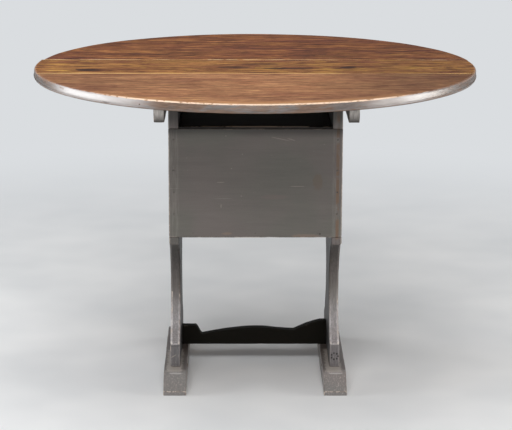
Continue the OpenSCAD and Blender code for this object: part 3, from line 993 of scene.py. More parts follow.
class Timber:
    """A piece of wood, shaped from a squared solid to a worn one in one bmesh."""

    SHARP = math.radians(28)

    def __init__(self, name: str, grain: Grain, age: Age = Age(), seed: float = 0.0) -> None:
        """Starts an empty mesh with its wear and end grain attributes.

        Args:
            name: Name of the piece.
            grain: The axis of the grain.
            age: How worn the piece is.
            seed: Shift of the knocks.
        """
        self.name = name
        self.grain = grain
        self.age = age
        self.seed = Vector((seed, seed * 1.7, seed * 0.6))
        self.mesh = new_mesh()
        self.end = self.mesh.verts.layers.float.new("end")
        self.wear = self.mesh.verts.layers.float["wear"]
        self.eased: set[BMFace] = set()

    def block(self, low: Vector, high: Vector) -> "Timber":
        """Adds a squared block between two corners and returns the timber."""
        place = Matrix.Translation((low + high) / 2) @ Matrix.Diagonal((*(high - low), 1.0))
        bmesh.ops.create_cube(self.mesh, size=1.0, matrix=place)
        return self

    def prism(self, outline: Iterable[Vector], depth: Vector) -> "Timber":
        """Adds a solid from a flat outline.

        Args:
            outline: The outline's points.
            depth: How far it is drawn out, and where to.

        Returns:
            The timber.
        """
        face = self.mesh.faces.new([self.mesh.verts.new(point) for point in outline])
        draw_out(self.mesh, [face], depth)
        bmesh.ops.recalc_face_normals(self.mesh, faces=self.mesh.faces[:])
        return self

    def disc(self, radius: float, low: float, high: float, sides: int) -> "Timber":
        """Adds an upright disc centred on the table's axis.

        Args:
            radius: Its radius.
            low: Height of its underside.
            high: Height of its face.
            sides: Facets round its rim.

        Returns:
            The timber.
        """
        place = Matrix.Translation((0, 0, low))
        bmesh.ops.create_circle(self.mesh, cap_ends=True, segments=sides, radius=radius, matrix=place)
        draw_out(self.mesh, self.mesh.faces[:], Vector((0, 0, high - low)))
        bmesh.ops.recalc_face_normals(self.mesh, faces=self.mesh.faces[:])
        return self

    def sharp_edges(self) -> list[BMEdge]:
        """Returns the convex edges where two faces meet sharply."""
        self.mesh.normal_update()
        return [
            edge for edge in self.mesh.edges
            if edge.is_manifold and edge.is_convex and edge.calc_face_angle() > self.SHARP
        ]

    def bevel(self, edges: Iterable[BMEdge], width: float, segments: int) -> "Timber":
        """Bevels some edges and remembers the new faces as worn.

        Args:
            edges: The edges.
            width: Width of the bevel on each side.
            segments: Facets across it.

        Returns:
            The timber.
        """
        made = bmesh.ops.bevel(
            self.mesh, geom=list(edges), offset=width, offset_type="OFFSET", segments=segments,
            profile=0.5, affect="EDGES", material=-1, clamp_overlap=True)
        self.eased = {face for face in self.eased if face.is_valid} | set(made["faces"])
        return self

    def ease(self, above: float = -1.0) -> "Timber":
        """Eases the sharp convex arrises that no earlier bevel has made.

        Args:
            above: Height above which an arris has to rise.

        Returns:
            The timber.
        """
        fresh = [
            edge for edge in self.sharp_edges()
            if max(vert.co.z for vert in edge.verts) > above
            and not any(face in self.eased for face in edge.link_faces)
        ]
        return self.bevel(fresh, self.age.arris, 2)

    def slab(self, axis: Vector, low: float | None, high: float | None) -> "Timber":
        """Keeps what lies between two planes, and closes the cuts.

        Args:
            axis: The unit vector across the planes.
            low: Place of the first plane along the axis, or None.
            high: Place of the second plane, or None.

        Returns:
            The timber.
        """
        for limit, way in ((low, -1.0), (high, 1.0)):
            if limit is None:
                continue
            plane_cut(self.mesh, axis * limit, axis * way, clear=True)
            rim = [edge for edge in self.mesh.edges if edge.is_boundary]
            bmesh.ops.holes_fill(self.mesh, edges=rim, sides=0)
        return self

    def smooth_neighbours(self, face: BMFace) -> list[BMFace]:
        """Returns the faces that a face runs smoothly into, and itself."""
        soft = [
            edge for edge in face.edges
            if len(edge.link_faces) == 2 and edge.calc_face_angle() <= self.SHARP
        ]
        return [other for edge in soft for other in edge.link_faces]

    def mark(self) -> "Timber":
        """Draws a margin inside each plain face and writes the wear and end grain attributes."""
        self.mesh.normal_update()
        grain = self.grain.axis()
        inner: set[BMVert] = set()
        plain = [face for face in self.mesh.faces if face not in self.eased]
        for group in groups(plain, self.smooth_neighbours):
            members = set(group)
            border = sum(
                edge.calc_length() for face in group for edge in face.edges
                if sum(other in members for other in edge.link_faces) == 1)
            width = sum(face.calc_area() for face in group) / (border / 2)
            margin = min(self.age.fade, width * 0.35)
            bmesh.ops.inset_region(
                self.mesh, faces=group, thickness=margin, use_even_offset=True, use_boundary=True)
            inner.update(vert for face in group if face.is_valid for vert in face.verts)
        self.mesh.normal_update()
        ends = {
            vert for face in self.mesh.faces if face not in self.eased and abs(face.normal.dot(grain)) > 0.8
            for vert in face.verts
        }
        for vert in self.mesh.verts:
            vert[self.wear] = 0.0 if vert in inner else 1.0
            vert[self.end] = 1.0 if vert in ends else 0.0
        return self

    def cut(self) -> "Timber":
        """Cuts the mesh along and across the grain, so that its faces can swell."""
        for index, (low, high) in enumerate(extent([vert.co for vert in self.mesh.verts])):
            step = self.age.along if index == self.grain.value else self.age.across
            count = round((high - low) / step)
            axis = Vector([float(index == other) for other in range(3)])
            for number in range(1, count):
                plane_cut(self.mesh, axis * (low + (high - low) * number / count), axis)
        return self

    def weather(self) -> "Timber":
        """Hollows the faces in slow waves, never past the squared solid, and knocks the arrises in."""
        self.mesh.normal_update()
        slow = Vector(self.grain.stretch(5.0, 14.0))
        quick = Vector(self.grain.stretch(28.0, 60.0))
        limits = extent([vert.co for vert in self.mesh.verts])
        moves = []
        for vert in self.mesh.verts:
            wave = noise.noise(vert.co * slow + self.seed)
            blow = noise.noise(vert.co * quick + self.seed * 3.0)
            inward = max(0.0, blow - 0.1) * self.age.knocks * vert[self.wear]
            moves.append(vert.normal * (min(0.0, wave - 0.3) * self.age.swell - inward))
        for vert, move in zip(self.mesh.verts, moves):
            vert.co = Vector([
                min(max(part, least), most) for part, (least, most) in zip(vert.co + move, limits)])
        return self

    def age_through(self) -> "Timber":
        """Eases, marks, cuts and weathers the piece."""
        return self.ease().mark().cut().weather()

    def finish(self, body: Body, slot: Slot, material: Material) -> bpy.types.Object:
        """Returns the mesh as a piece of the table, which stands for the node of its name."""
        return make_piece(self.mesh, self.name, body, material)


def make_piece(mesh: BMesh, name: str, body: Body, material: Material) -> bpy.types.Object:
    """Turns a bmesh into a smooth-shaded object that rides on its body.

    Args:
        mesh: The bmesh, which is freed.
        name: The node that it replaces, if there is one; the object's name has _worn added.
        body: The body that it moves with.
        material: Its material.

    Returns:
        The object.
    """
    bmesh.ops.recalc_face_normals(mesh, faces=mesh.faces[:])
    data = bpy.data.meshes.new(f"{name}_worn")
    mesh.to_mesh(data)
    mesh.free()
    data.materials.append(material)
    data.shade_smooth()
    data.set_sharp_from_angle(angle=math.radians(38))
    piece = bpy.data.objects.new(f"{name}_worn", data)
    bpy.context.scene.collection.objects.link(piece)
    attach(piece, body.value)
    if name in frame["nodes"]:
        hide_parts(name)
    LOG.info("%s: %d faces on %s", piece.name, len(data.polygons), body.value)
    return piece


def solids(node: str) -> list[list[Vector]]:
    """Returns the corners of each separate solid of a node of the construction.

    Args:
        node: The node's name.

    Returns:
        One list of corners for each solid, in the order of their places.
    """
    copy = bmesh.new()
    copy.from_mesh(frame["nodes"][node].data)
    bmesh.ops.remove_doubles(copy, verts=copy.verts[:], dist=1e-6)
    islands = groups(copy.verts, lambda vert: [edge.other_vert(vert) for edge in vert.link_edges])
    found = [[vert.co.copy() for vert in island] for island in islands]
    copy.free()
    return sorted(found, key=lambda corners: tuple(round(part, 4) for part in middle(corners)))


def arc(centre: Vector, radius: float, start: float, end: float, steps: int) -> list[Vector]:
    """Returns the points of an upright arc, from one angle to the other, in radians from +Y towards +Z."""
    angles = [start + (end - start) * step / steps for step in range(steps + 1)]
    return [centre + Vector((0.0, math.cos(angle), math.sin(angle))) * radius for angle in angles]


@dataclass(frozen=True)
class Nails:
    """The forged nails of one node: a tapering square shank under a facetted head.

    Attributes:
        node: The node that they stand for.
        body: Their body.
        material: Their material.
        head: Width of a head.
        proud: How far a head stands out of the wood.
        crown: How far its middle is raised, and how uneven it is.
        seed: Shift of their crookedness.
        shank: Half the width of a shank under its head.
        least_head: Half the width past which a solid's corner belongs to its head.
    """

    node: str
    body: Body
    material: Material
    head: float = 6.6 * MM
    proud: float = 0.7 * MM
    crown: float = 0.35 * MM
    seed: float = 0.0
    shank: float = 2.0 * MM
    least_head: float = 2.4 * MM

    def build(self) -> bpy.types.Object:
        """Builds all the nails of the node as one piece."""
        mesh = new_mesh()
        for number, corners in enumerate(solids(self.node)):
            self.nail(mesh, corners, number)
        return make_piece(mesh, self.node, self.body, self.material)

    def nail(self, mesh: BMesh, corners: Sequence[Vector], number: int) -> None:
        """Adds one nail where a solid of the construction lies.

        Args:
            mesh: The nails' bmesh.
            corners: The solid's corners.
            number: Its number.
        """
        centre = middle(corners)
        reach = [most - place for (_, most), place in zip(extent(corners), centre)]
        along = reach.index(max(reach))
        wide = [corner for corner in corners if max(
            abs(corner[index] - centre[index]) for index in range(3) if index != along) > self.least_head]
        way = math.copysign(1.0, middle(wide)[along] - centre[along])
        out = Vector([way * float(index == along) for index in range(3)])
        top = centre + out * reach[along]
        turn = out.to_track_quat("Z", "Y").to_matrix().to_4x4()
        twist = Matrix.Rotation(0.5 * noise.noise(centre * 90.0 + Vector((self.seed, 0, number))), 4, "Z")
        place = Matrix.Translation(top) @ turn @ twist
        self.taper(mesh, place, 2 * reach[along])
        self.cap(mesh, place, number)

    def taper(self, mesh: BMesh, place: Matrix, length: float) -> None:
        """Adds a shank below its head.

        Args:
            mesh: The nails' bmesh.
            place: Where the top of the hole is.
            length: Length of the hole, which is a little more than the shank's.
        """
        hidden = length - 2.0 * MM
        down = Matrix.Translation((0, 0, -hidden / 2 - 0.4 * MM)) @ Matrix.Rotation(math.pi / 4, 4, "Z")
        bmesh.ops.create_cone(
            mesh, cap_ends=True, segments=4, radius1=0.7 * MM, radius2=self.shank, depth=hidden,
            matrix=place @ down)

    def cap(self, mesh: BMesh, place: Matrix, number: int) -> None:
        """Adds a hammered head, with its rim uneven and its middle raised.

        Args:
            mesh: The nails' bmesh.
            place: Where the top of the hole is.
            number: Its number.
        """
        depth = self.proud + 1.2 * MM
        made = bmesh.ops.create_cone(
            mesh, cap_ends=True, segments=8, radius1=self.head * 0.56, radius2=self.head * 0.36,
            depth=depth, matrix=place @ Matrix.Translation((0, 0, self.proud - depth / 2)))
        out = place.to_3x3() @ Vector((0, 0, 1))
        crown = [
            face for face in {face for vert in made["verts"] for face in vert.link_faces}
            if face.normal.dot(out) > 0.9 and len(face.verts) == 8
        ]
        mesh.normal_update()
        poked = bmesh.ops.poke(mesh, faces=crown, offset=0.0)
        bmesh.ops.translate(mesh, verts=poked["verts"], vec=out * self.crown)
        for vert in made["verts"]:
            vert.co += noise.noise_vector(vert.co * 700.0 + Vector((number, 0, self.seed))) * self.crown


@dataclass
class RoundTop:
    """The tilting round top: three boards, two cleats and their nails.

    Attributes:
        rim_sides: Facets round the rim.
        upper_round: Rounding of the rim's upper arris.
        lower_round: Rounding of the rim's lower arris.
        back_shrink: How far the back board has shrunk.
        back_drift: How far the back board has crept to the right.
        cleat_round: Rounding of a cleat's lower end corners.
        rim_gloss: Specular level of the painted rim.
        old_nail: Place and width of the cut nail in the rim.
        board_age: How worn the boards are.
        radius: Radius of the top.
        low: Height of its underside.
        high: Height of its face.
        seam_front: Place of the front seam.
        seam_back: Place of the back seam.
    """

    rim_sides: int = 288
    upper_round: float = 5.0 * MM
    lower_round: float = 3.0 * MM
    back_shrink: float = 1.5 * MM
    back_drift: float = 3.0 * MM
    cleat_round: float = 14.0 * MM
    rim_gloss: float = 0.6
    old_nail: tuple[float, float, float] = (-241.3 * MM, 698.8 * MM, 3.4 * MM)
    board_age: Age = Age(
        arris=0.9 * MM, fade=4.5 * MM, along=24.0 * MM, across=19.0 * MM, swell=0.5 * MM, knocks=1.8 * MM)
    radius: float = field(init=False)
    low: float = field(init=False)
    high: float = field(init=False)
    seam_front: float = field(init=False)
    seam_back: float = field(init=False)

    def __post_init__(self) -> None:
        """Takes the top's size and its seams from the construction."""
        near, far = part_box("top_board_middle")
        self.radius = far.x
        self.low, self.high = near.z, far.z
        self.seam_front, self.seam_back = near.y, far.y

    def build(self) -> None:
        """Builds every piece of the top."""
        self.boards()
        self.cleats()
        iron = ForgedIron("iron_of_cleat_nails").make()
        Nails("cleat_nails", Body.TOP, iron, seed=2.0).build()
        self.rim_nail(iron)

    def boards(self) -> None:
        """Builds the three boards."""
        common = {"radius": self.radius, "upper": self.high, "lower": self.low}
        front = TopPine(
            "pine_of_front_board", shadow=tone(126, 82, 56), body=tone(153, 105, 73),
            glow=tone(168, 121, 86), gold=tone(190, 144, 98), offset=11.0, seam_wear=0.85, right_shade=0.54,
            left_shade=0.84, veins=0.45, contrast=0.8, worn_left=0.34, worn_until=0.16, **common)
        centre = TopPine(
            "pine_of_middle_board", shadow=tone(80, 42, 26), body=tone(142, 92, 55),
            glow=tone(164, 116, 66), gold=tone(192, 146, 72), offset=23.0, seam_wear=0.8,
            right_shade=0.80, veins=1.0, worn_left=0.2, worn_until=0.16, knots=(
                Knot(-0.374, -0.070, 0.026, 0.015, 1.0), Knot(-0.045, -0.030, 0.034, 0.012, 0.7),
                Knot(0.070, -0.044, 0.060, 0.008, 1.0), Knot(0.209, -0.030, 0.018, 0.012, 1.0),
                Knot(0.010, 0.015, 0.040, 0.006, 0.9)), **common)
        back = TopPine(
            "pine_of_back_board", shadow=tone(70, 36, 24), body=tone(114, 67, 42),
            glow=tone(138, 87, 52), gold=tone(170, 118, 68), offset=37.0, seam_wear=0.6,
            seam_tone=tone(250, 228, 186), right_shade=0.86, veins=1.0, contrast=1.4, worn_left=0.24,
            worn_until=-0.36, **common)
        self.board("top_board_front", None, self.seam_front, front)
        self.board("top_board_middle", self.seam_front, self.seam_back, centre)
        self.board("top_board_back", self.seam_back, None, back, self.back_shrink, self.back_drift)

    def board(
        self, name: str, low: float | None, high: float | None, finish: TopPine, shrink: float = 0.0,
        drift: float = 0.0
    ) -> None:
        """Builds one board between two seams.

        Args:
            name: Its node.
            low: Place of its front seam, or None at the rim.
            high: Place of its back seam, or None at the rim.
            finish: Its finish.
            shrink: How far its rim lies inside the circle.
            drift: How far it has crept to the right.
        """
        board = Timber(name, Grain.ACROSS, self.board_age, seed=finish.offset)
        board.disc(self.radius - shrink, self.low, self.high, self.rim_sides)
        middle_z = (self.low + self.high) / 2
        upper = [edge for edge in board.sharp_edges() if edge.verts[0].co.z > middle_z]
        board.bevel(upper, self.upper_round, 4)
        lower = [edge for edge in board.sharp_edges() if edge.verts[0].co.z < middle_z]
        board.bevel(lower, self.lower_round, 3)
        board.eased.clear()
        board.slab(Vector((0, 1, 0)), low, high)
        seams = [
            edge for edge in board.sharp_edges()
            if abs((edge.verts[0].co - edge.verts[1].co).x) > self.radius / 2
        ]
        board.bevel(seams, self.board_age.arris, 2).mark().cut()
        for vert in board.mesh.verts:
            vert[board.end] = 0.0
            vert.co.x += drift
            vert.co.z = min(max(vert.co.z, self.low), self.high)
        piece = board.weather().finish(Body.TOP, Slot.TOP_PINE, finish.make())
        rim = replace(finish, name=f"{finish.name}_rim", gloss=self.rim_gloss)
        piece.data.materials.append(rim.make())
        for face in piece.data.polygons:
            if math.hypot(face.center.x - drift, face.center.y) > self.radius - shrink - self.upper_round:
                face.material_index = 1

    def cleats(self) -> None:
        """Builds the two cleats under the top."""
        turn = self.cleat_round
        for name, end_pale, seed in (("cleat_left", 1.0, 1.0), ("cleat_right", 0.8, 4.0)):
            low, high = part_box(name)
            near = Vector((low.x, low.y + turn, low.z + turn))
            far = Vector((low.x, high.y - turn, low.z + turn))
            outline = [
                Vector((low.x, high.y, high.z)), Vector((low.x, low.y, high.z)),
                *arc(near, turn, math.pi, 1.5 * math.pi, 8), *arc(far, turn, -0.5 * math.pi, 0.0, 8),
            ]
            cleat = Timber(name, Grain.DEPTH, Age(knocks=1.2 * MM), seed)
            cleat.prism(outline, Vector((high.x - low.x, 0, 0))).age_through()
            # The cleats' dark paint is painted shade under the top, and the pale end grain fading out towards
            # their lower edge is painted shade too.
            finish = GreyPaint(
                f"paint_of_{name}", Grain.DEPTH, wear=0.95, warm=tone(76, 70, 66), cool=tone(70, 66, 62),
                bare=tone(168, 152, 138), halo=tone(66, 58, 52), end_pale=end_pale,
                end_low=low.z + 1.0 * MM, offset=seed)
            cleat.finish(Body.TOP, Slot.PAINT, finish.make())

    def rim_nail(self, iron: Material) -> None:
        """Builds the stub of an old nail in the rim.

        Args:
            iron: Its material.
        """
        x, z, width = self.old_nail
        length = 8.0 * MM
        out = Vector((x, -math.sqrt(self.radius ** 2 - x * x), 0)).normalized()
        place = Matrix.Translation(out * (self.radius + 0.2 * MM) + Vector((0, 0, z)))
        turn = out.to_track_quat("Z", "Y").to_matrix().to_4x4()
        mesh = new_mesh()
        bmesh.ops.create_cone(
            mesh, cap_ends=True, segments=10, radius1=width / 2, radius2=width / 2.4, depth=length,
            matrix=place @ turn @ Matrix.Translation((0, 0, -length / 2)))
        make_piece(mesh, "rim_nail", Body.TOP, iron)


@dataclass
class Pivot:
    """The two turned pins that the top tilts on.

    Attributes:
        steps: Facets round a pin.
        shank: Radius of a pin's shank.
        head_length: Length of its head.
        dome: Height of the head's rounding.
    """

    steps: int = 40
    shank: float = 8.0 * MM
    head_length: float = 9.0 * MM
    dome: float = 3.0 * MM

    def build(self) -> None:
        """Builds both pins."""
        wood = BareWood(
            "hardwood_of_pins", Grain.ACROSS, pale=tone(140, 104, 72), dark=tone(92, 62, 40), fine=420.0,
            gloss=0.45, rough=0.42).make()
        joint = next(joint for joint in frame["joints"] if joint["name"] == "top_tilt")
        centre = Vector(joint["pos_m"])
        for name, way in (("pivot_pin_left", -1.0), ("pivot_pin_right", 1.0)):
            low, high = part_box(name)
            end, tip = sorted((abs(low.x), abs(high.x)))
            pin = self.pin(name, way, centre, end, tip, (high.z - low.z) / 2)
            pin.finish(Body.BASE, Slot.HARDWOOD, wood)

    def pin(self, name: str, way: float, centre: Vector, end: float, tip: float, head: float) -> Timber:
        """Turns one pin from its section.

        Args:
            name: Its node.
            way: -1 on the left and 1 on the right.
            centre: A point on the pivot's axis.
            end: Distance of the pin's plain end from the table's middle.
            tip: Distance of its head's outer face.
            head: Radius of its head.

        Returns:
            The pin's timber.
        """
        under = tip - self.head_length
        section = [
            (end, 0.0), (end, self.shank - 1.2 * MM), (end + 1.2 * MM, self.shank), (under, self.shank),
            (under, head - 1.0 * MM), (under + 1.0 * MM, head), (under + 3.6 * MM, head - 0.3 * MM),
            (tip - self.dome, head - 0.9 * MM), (tip - 1.6 * MM, head - 2.6 * MM),
            (tip - 0.5 * MM, head - 5.6 * MM), (tip, head - 9.5 * MM), (tip, 0.0),
        ]
        pin = Timber(name, Grain.ACROSS, Age(swell=0.15 * MM))
        verts = [
            pin.mesh.verts.new(Vector((x * way, centre.y, centre.z + radius))) for x, radius in section
        ]
        for first, second in zip(verts, verts[1:]):
            pin.mesh.edges.new((first, second))
        bmesh.ops.spin(
            pin.mesh, geom=pin.mesh.verts[:] + pin.mesh.edges[:], cent=centre, axis=Vector((1, 0, 0)),
            angle=2 * math.pi, steps=self.steps, use_merge=True, use_duplicate=False, dvec=Vector())
        bmesh.ops.remove_doubles(pin.mesh, verts=pin.mesh.verts[:], dist=1e-6)
        bmesh.ops.recalc_face_normals(pin.mesh, faces=pin.mesh.faces[:])
        for vert in pin.mesh.verts:
            vert[pin.wear] = 0.5
        return pin.weather()


def ogee(part: float) -> float:
    """Returns the rise, from 0 to 1, of a curve that starts and ends level."""
    return (1 - math.cos(math.pi * part)) / 2


def quick(part: float) -> float:
    """Returns the rise of a curve that starts steep and ends level."""
    return math.sin(math.pi / 2 * part)


def steady(part: float) -> float:
    """Returns the rise of a curve between a straight line and the quick one."""
    return (part + quick(part)) / 2


@dataclass
class Underframe:
    """The feet, their pegs and the scalloped stretcher.

    Attributes:
        toe_length: Length of a foot's sloping toe.
        toe_height: Height of a foot at its toe.
        left_toe_round: Rounding where the left foot's top falls to its toes.
        right_toe_round: The same on the right foot.
        foot_age: How worn the feet are.
        peg_radius: Radius of a peg.
        peg_ease: Width of the eased arrises at its ends.
        scallop_steps: Points on each curve of the stretcher.
        left_shoulder: Length and height of the stretcher's left shoulder.
        left_hollow: Distance from the left side and height of its left hollow.
        crest: Place across the table and height of its crest.
        right_hollow: Distance from the right side and height of its right hollow.
        right_shoulder: Length and height of its right shoulder.
        tenon: Lowest and highest point of its tenons above its lower edge.
    """

    toe_length: float = 43.0 * MM
    toe_height: float = 9.5 * MM
    left_toe_round: float = 6.0 * MM
    right_toe_round: float = 2.5 * MM
    foot_age: Age = Age(
        arris=1.6 * MM, fade=3.4 * MM, along=12.0 * MM, across=18.0 * MM, swell=0.5 * MM, knocks=1.8 * MM)
    peg_radius: float = 4.0 * MM
    peg_ease: float = 0.7 * MM
    scallop_steps: int = 14
    left_shoulder: tuple[float, float] = (31.0 * MM, 45.0 * MM)
    left_hollow: tuple[float, float] = (48.0 * MM, 24.0 * MM)
    crest: tuple[float, float] = (8.0 * MM, 40.0 * MM)
    right_hollow: tuple[float, float] = (76.0 * MM, 34.0 * MM)
    right_shoulder: tuple[float, float] = (14.0 * MM, 57.0 * MM)
    tenon: tuple[float, float] = (7.0 * MM, 33.0 * MM)

    def build(self) -> None:
        """Builds the feet, the pegs and the stretcher."""
        self.foot("foot_left", 6.0, self.left_toe_round, 0.28)
        self.foot("foot_right", 9.0, self.right_toe_round, 0.42)
        self.pegs()
        self.stretcher()

    def foot(self, name: str, seed: float, toe_round: float, scuffs: float) -> None:
        """Builds one shoe foot with its sloping toes.

        Args:
            name: Its node.
            seed: Shift in its patterns.
            toe_round: Rounding where its top falls to a toe.
            scuffs: Strength of its pale scuffs.
        """
        low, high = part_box(name)
        top = high.z
        toe = low.z + self.toe_height
        flat = [
            (low.y, low.z), (high.y, low.z), (high.y, toe), (high.y - self.toe_length, top),
            (low.y + self.toe_length, top), (low.y, toe),
        ]
        foot = Timber(name, Grain.DEPTH, self.foot_age, seed)
        foot.prism([Vector((low.x, y, z)) for y, z in flat], Vector((high.x - low.x, 0, 0)))
        brows = [
            edge for edge in foot.sharp_edges()
            if all(vert.co.z > top - MM for vert in edge.verts)
            and abs(edge.verts[0].co.x - edge.verts[1].co.x) > MM
        ]
        foot.bevel(brows, toe_round, 3)
        foot.eased.clear()
        foot.ease(above=low.z + MM).mark().cut().weather()
        middle_x = (low.x + high.x) / 2
        # Painted highlights along the rounded arris above the toes.
        brow_highlight = (
            Mark(middle_x + 2.0 * MM, top - 3.4 * MM, 17.0 * MM, 1.5 * MM, tone(184, 180, 178), 0.7),
            Mark(middle_x - 2.0 * MM, top - 0.4 * MM, 20.0 * MM, 0.9 * MM, tone(196, 188, 180), 0.5))
        # The brown on the foot's top behind its toes is dirt and painted shade.
        finish = GreyPaint(
            f"paint_of_{name}", Grain.DEPTH, wear=0.98, offset=seed, warm=tone(132, 125, 123),
            cool=tone(124, 122, 120), bare=tone(214, 202, 192), scratches=1.2, wear_under=self.toe_height,
            scuffs=scuffs, brown=tone(62, 50, 43), marks=brow_highlight,
            dirt=(high.y - self.toe_length - 22.0 * MM, top - 2.0 * MM))
        foot.finish(Body.BASE, Slot.PAINT, finish.make())

    def pegs(self) -> None:
        """Builds the whittled pegs through the feet, each with eight flats."""
        wood = BareWood(
            "hardwood_of_pegs", Grain.ACROSS, pale=tone(120, 98, 78), dark=tone(84, 66, 52), fine=500.0)
        mesh = new_mesh()
        for corners in solids("foot_pegs"):
            centre = middle(corners)
            length = 2 * (max(corner.x for corner in corners) - centre.x) + 1.6 * MM
            place = Matrix.Translation(centre) @ Matrix.Rotation(math.pi / 2, 4, "Y")
            made = bmesh.ops.create_cone(
                mesh, cap_ends=True, segments=8, radius1=self.peg_radius, radius2=self.peg_radius,
                depth=length, matrix=place)
            caps = [
                edge for edge in {edge for vert in made["verts"] for edge in vert.link_edges}
                if abs(edge.verts[0].co.x - edge.verts[1].co.x) < length / 2
            ]
            bmesh.ops.bevel(
                mesh, geom=caps, offset=self.peg_ease, offset_type="OFFSET", segments=1, profile=0.5,
                affect="EDGES", material=-1)
        for vert in mesh.verts:
            vert.co += noise.noise_vector(vert.co * 500.0) * 0.3 * MM
        make_piece(mesh, "foot_pegs", Body.BASE, wood.make())

    def top_edge(self, half: float) -> list[tuple[float, float]]:
        """Draws the stretcher's upper edge from left to right.

        Args:
            half: Half its length between the sides.

        Returns:
            Places across the table and heights above its lower edge.
        """
        keys = [
            (self.left_shoulder[0] - half, self.left_shoulder[1]),
            (self.left_hollow[0] - half, self.left_hollow[1]),
            self.crest,
            (half - self.right_hollow[0], self.right_hollow[1]),
            (half - self.right_shoulder[0], self.right_shoulder[1]),
        ]
        shapes: list[Callable[[float], float]] = [ogee, quick, ogee, steady]
        shares = [step / self.scallop_steps for step in range(self.scallop_steps)]
        points = [(-half, self.left_shoulder[1])]
        for (x0, z0), (x1, z1), shape in zip(keys, keys[1:], shapes):
            points += [(x0 + (x1 - x0) * part, z0 + (z1 - z0) * shape(part)) for part in shares]
        return points + [keys[-1], (half, self.right_shoulder[1])]

    def stretcher(self) -> None:
        """Builds the stretcher with its through tenons."""
        low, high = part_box("stretcher")
        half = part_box("side_right")[0].x
        end = high.x + 0.6 * MM
        base = low.z
        tenon_low, tenon_high = (base + height for height in self.tenon)
        outline = [
            (half, tenon_high), (end, tenon_high), (end, tenon_low), (half, tenon_low), (half, base),
            (-half, base), (-half, tenon_low), (-end, tenon_low), (-end, tenon_high), (-half, tenon_high),
            *((x, base + height) for x, height in self.top_edge(half)),
        ]
        points = [Vector((x, low.y, z)) for x, z in outline]
        board = Timber("stretcher", Grain.ACROSS, Age(fade=3.5 * MM, knocks=1.2 * MM), 13.0)
        board.prism(points, Vector((0, high.y - low.y, 0))).age_through()
        # The stretcher's near-black paint is painted shade under the table, over the grey paint.
        finish = GreyPaint(
            "paint_of_stretcher", Grain.ACROSS, wear=0.8, offset=13.0, warm=tone(25, 22, 18),
            cool=tone(22, 20, 16), bare=tone(48, 40, 32), halo=tone(28, 24, 20), scratches=0.2,
            gloss=0.06, dull=0.25)
        board.finish(Body.BASE, Slot.PAINT, finish.make())


# The scratches, rubs and filled hole that show on the front board
SCRATCH_TONE = tone(140, 130, 122)
RUB_TONE = tone(132, 112, 98)
FRONT_MARKS = (
    Mark(57 * MM, 576 * MM, 23 * MM, 0.9 * MM, SCRATCH_TONE, 0.7, lean=0.2),
    Mark(92 * MM, 470 * MM, 18 * MM, 0.8 * MM, SCRATCH_TONE, 0.8),
    Mark(-77 * MM, 479 * MM, 9 * MM, 0.9 * MM, SCRATCH_TONE, 0.8),
    Mark(-76 * MM, 426 * MM, 1.2 * MM, 5 * MM, SCRATCH_TONE, 0.8),
    Mark(-64 * MM, 363 * MM, 13 * MM, 3 * MM, RUB_TONE, 0.6),
    Mark(110 * MM, 358 * MM, 31 * MM, 4 * MM, RUB_TONE, 0.55),
    Mark(143 * MM, 362 * MM, 2.4 * MM, 2.4 * MM, tone(62, 54, 48), 0.9),
    Mark(137 * MM, 480 * MM, 12 * MM, 20 * MM, tone(104, 86, 68), 0.4),
    Mark(40 * MM, 446 * MM, 30 * MM, 6 * MM, tone(112, 98, 94), 0.4),
    Mark(79 * MM, 575 * MM, 9 * MM, 1.4 * MM, SCRATCH_TONE, 0.6, lean=0.3),
)


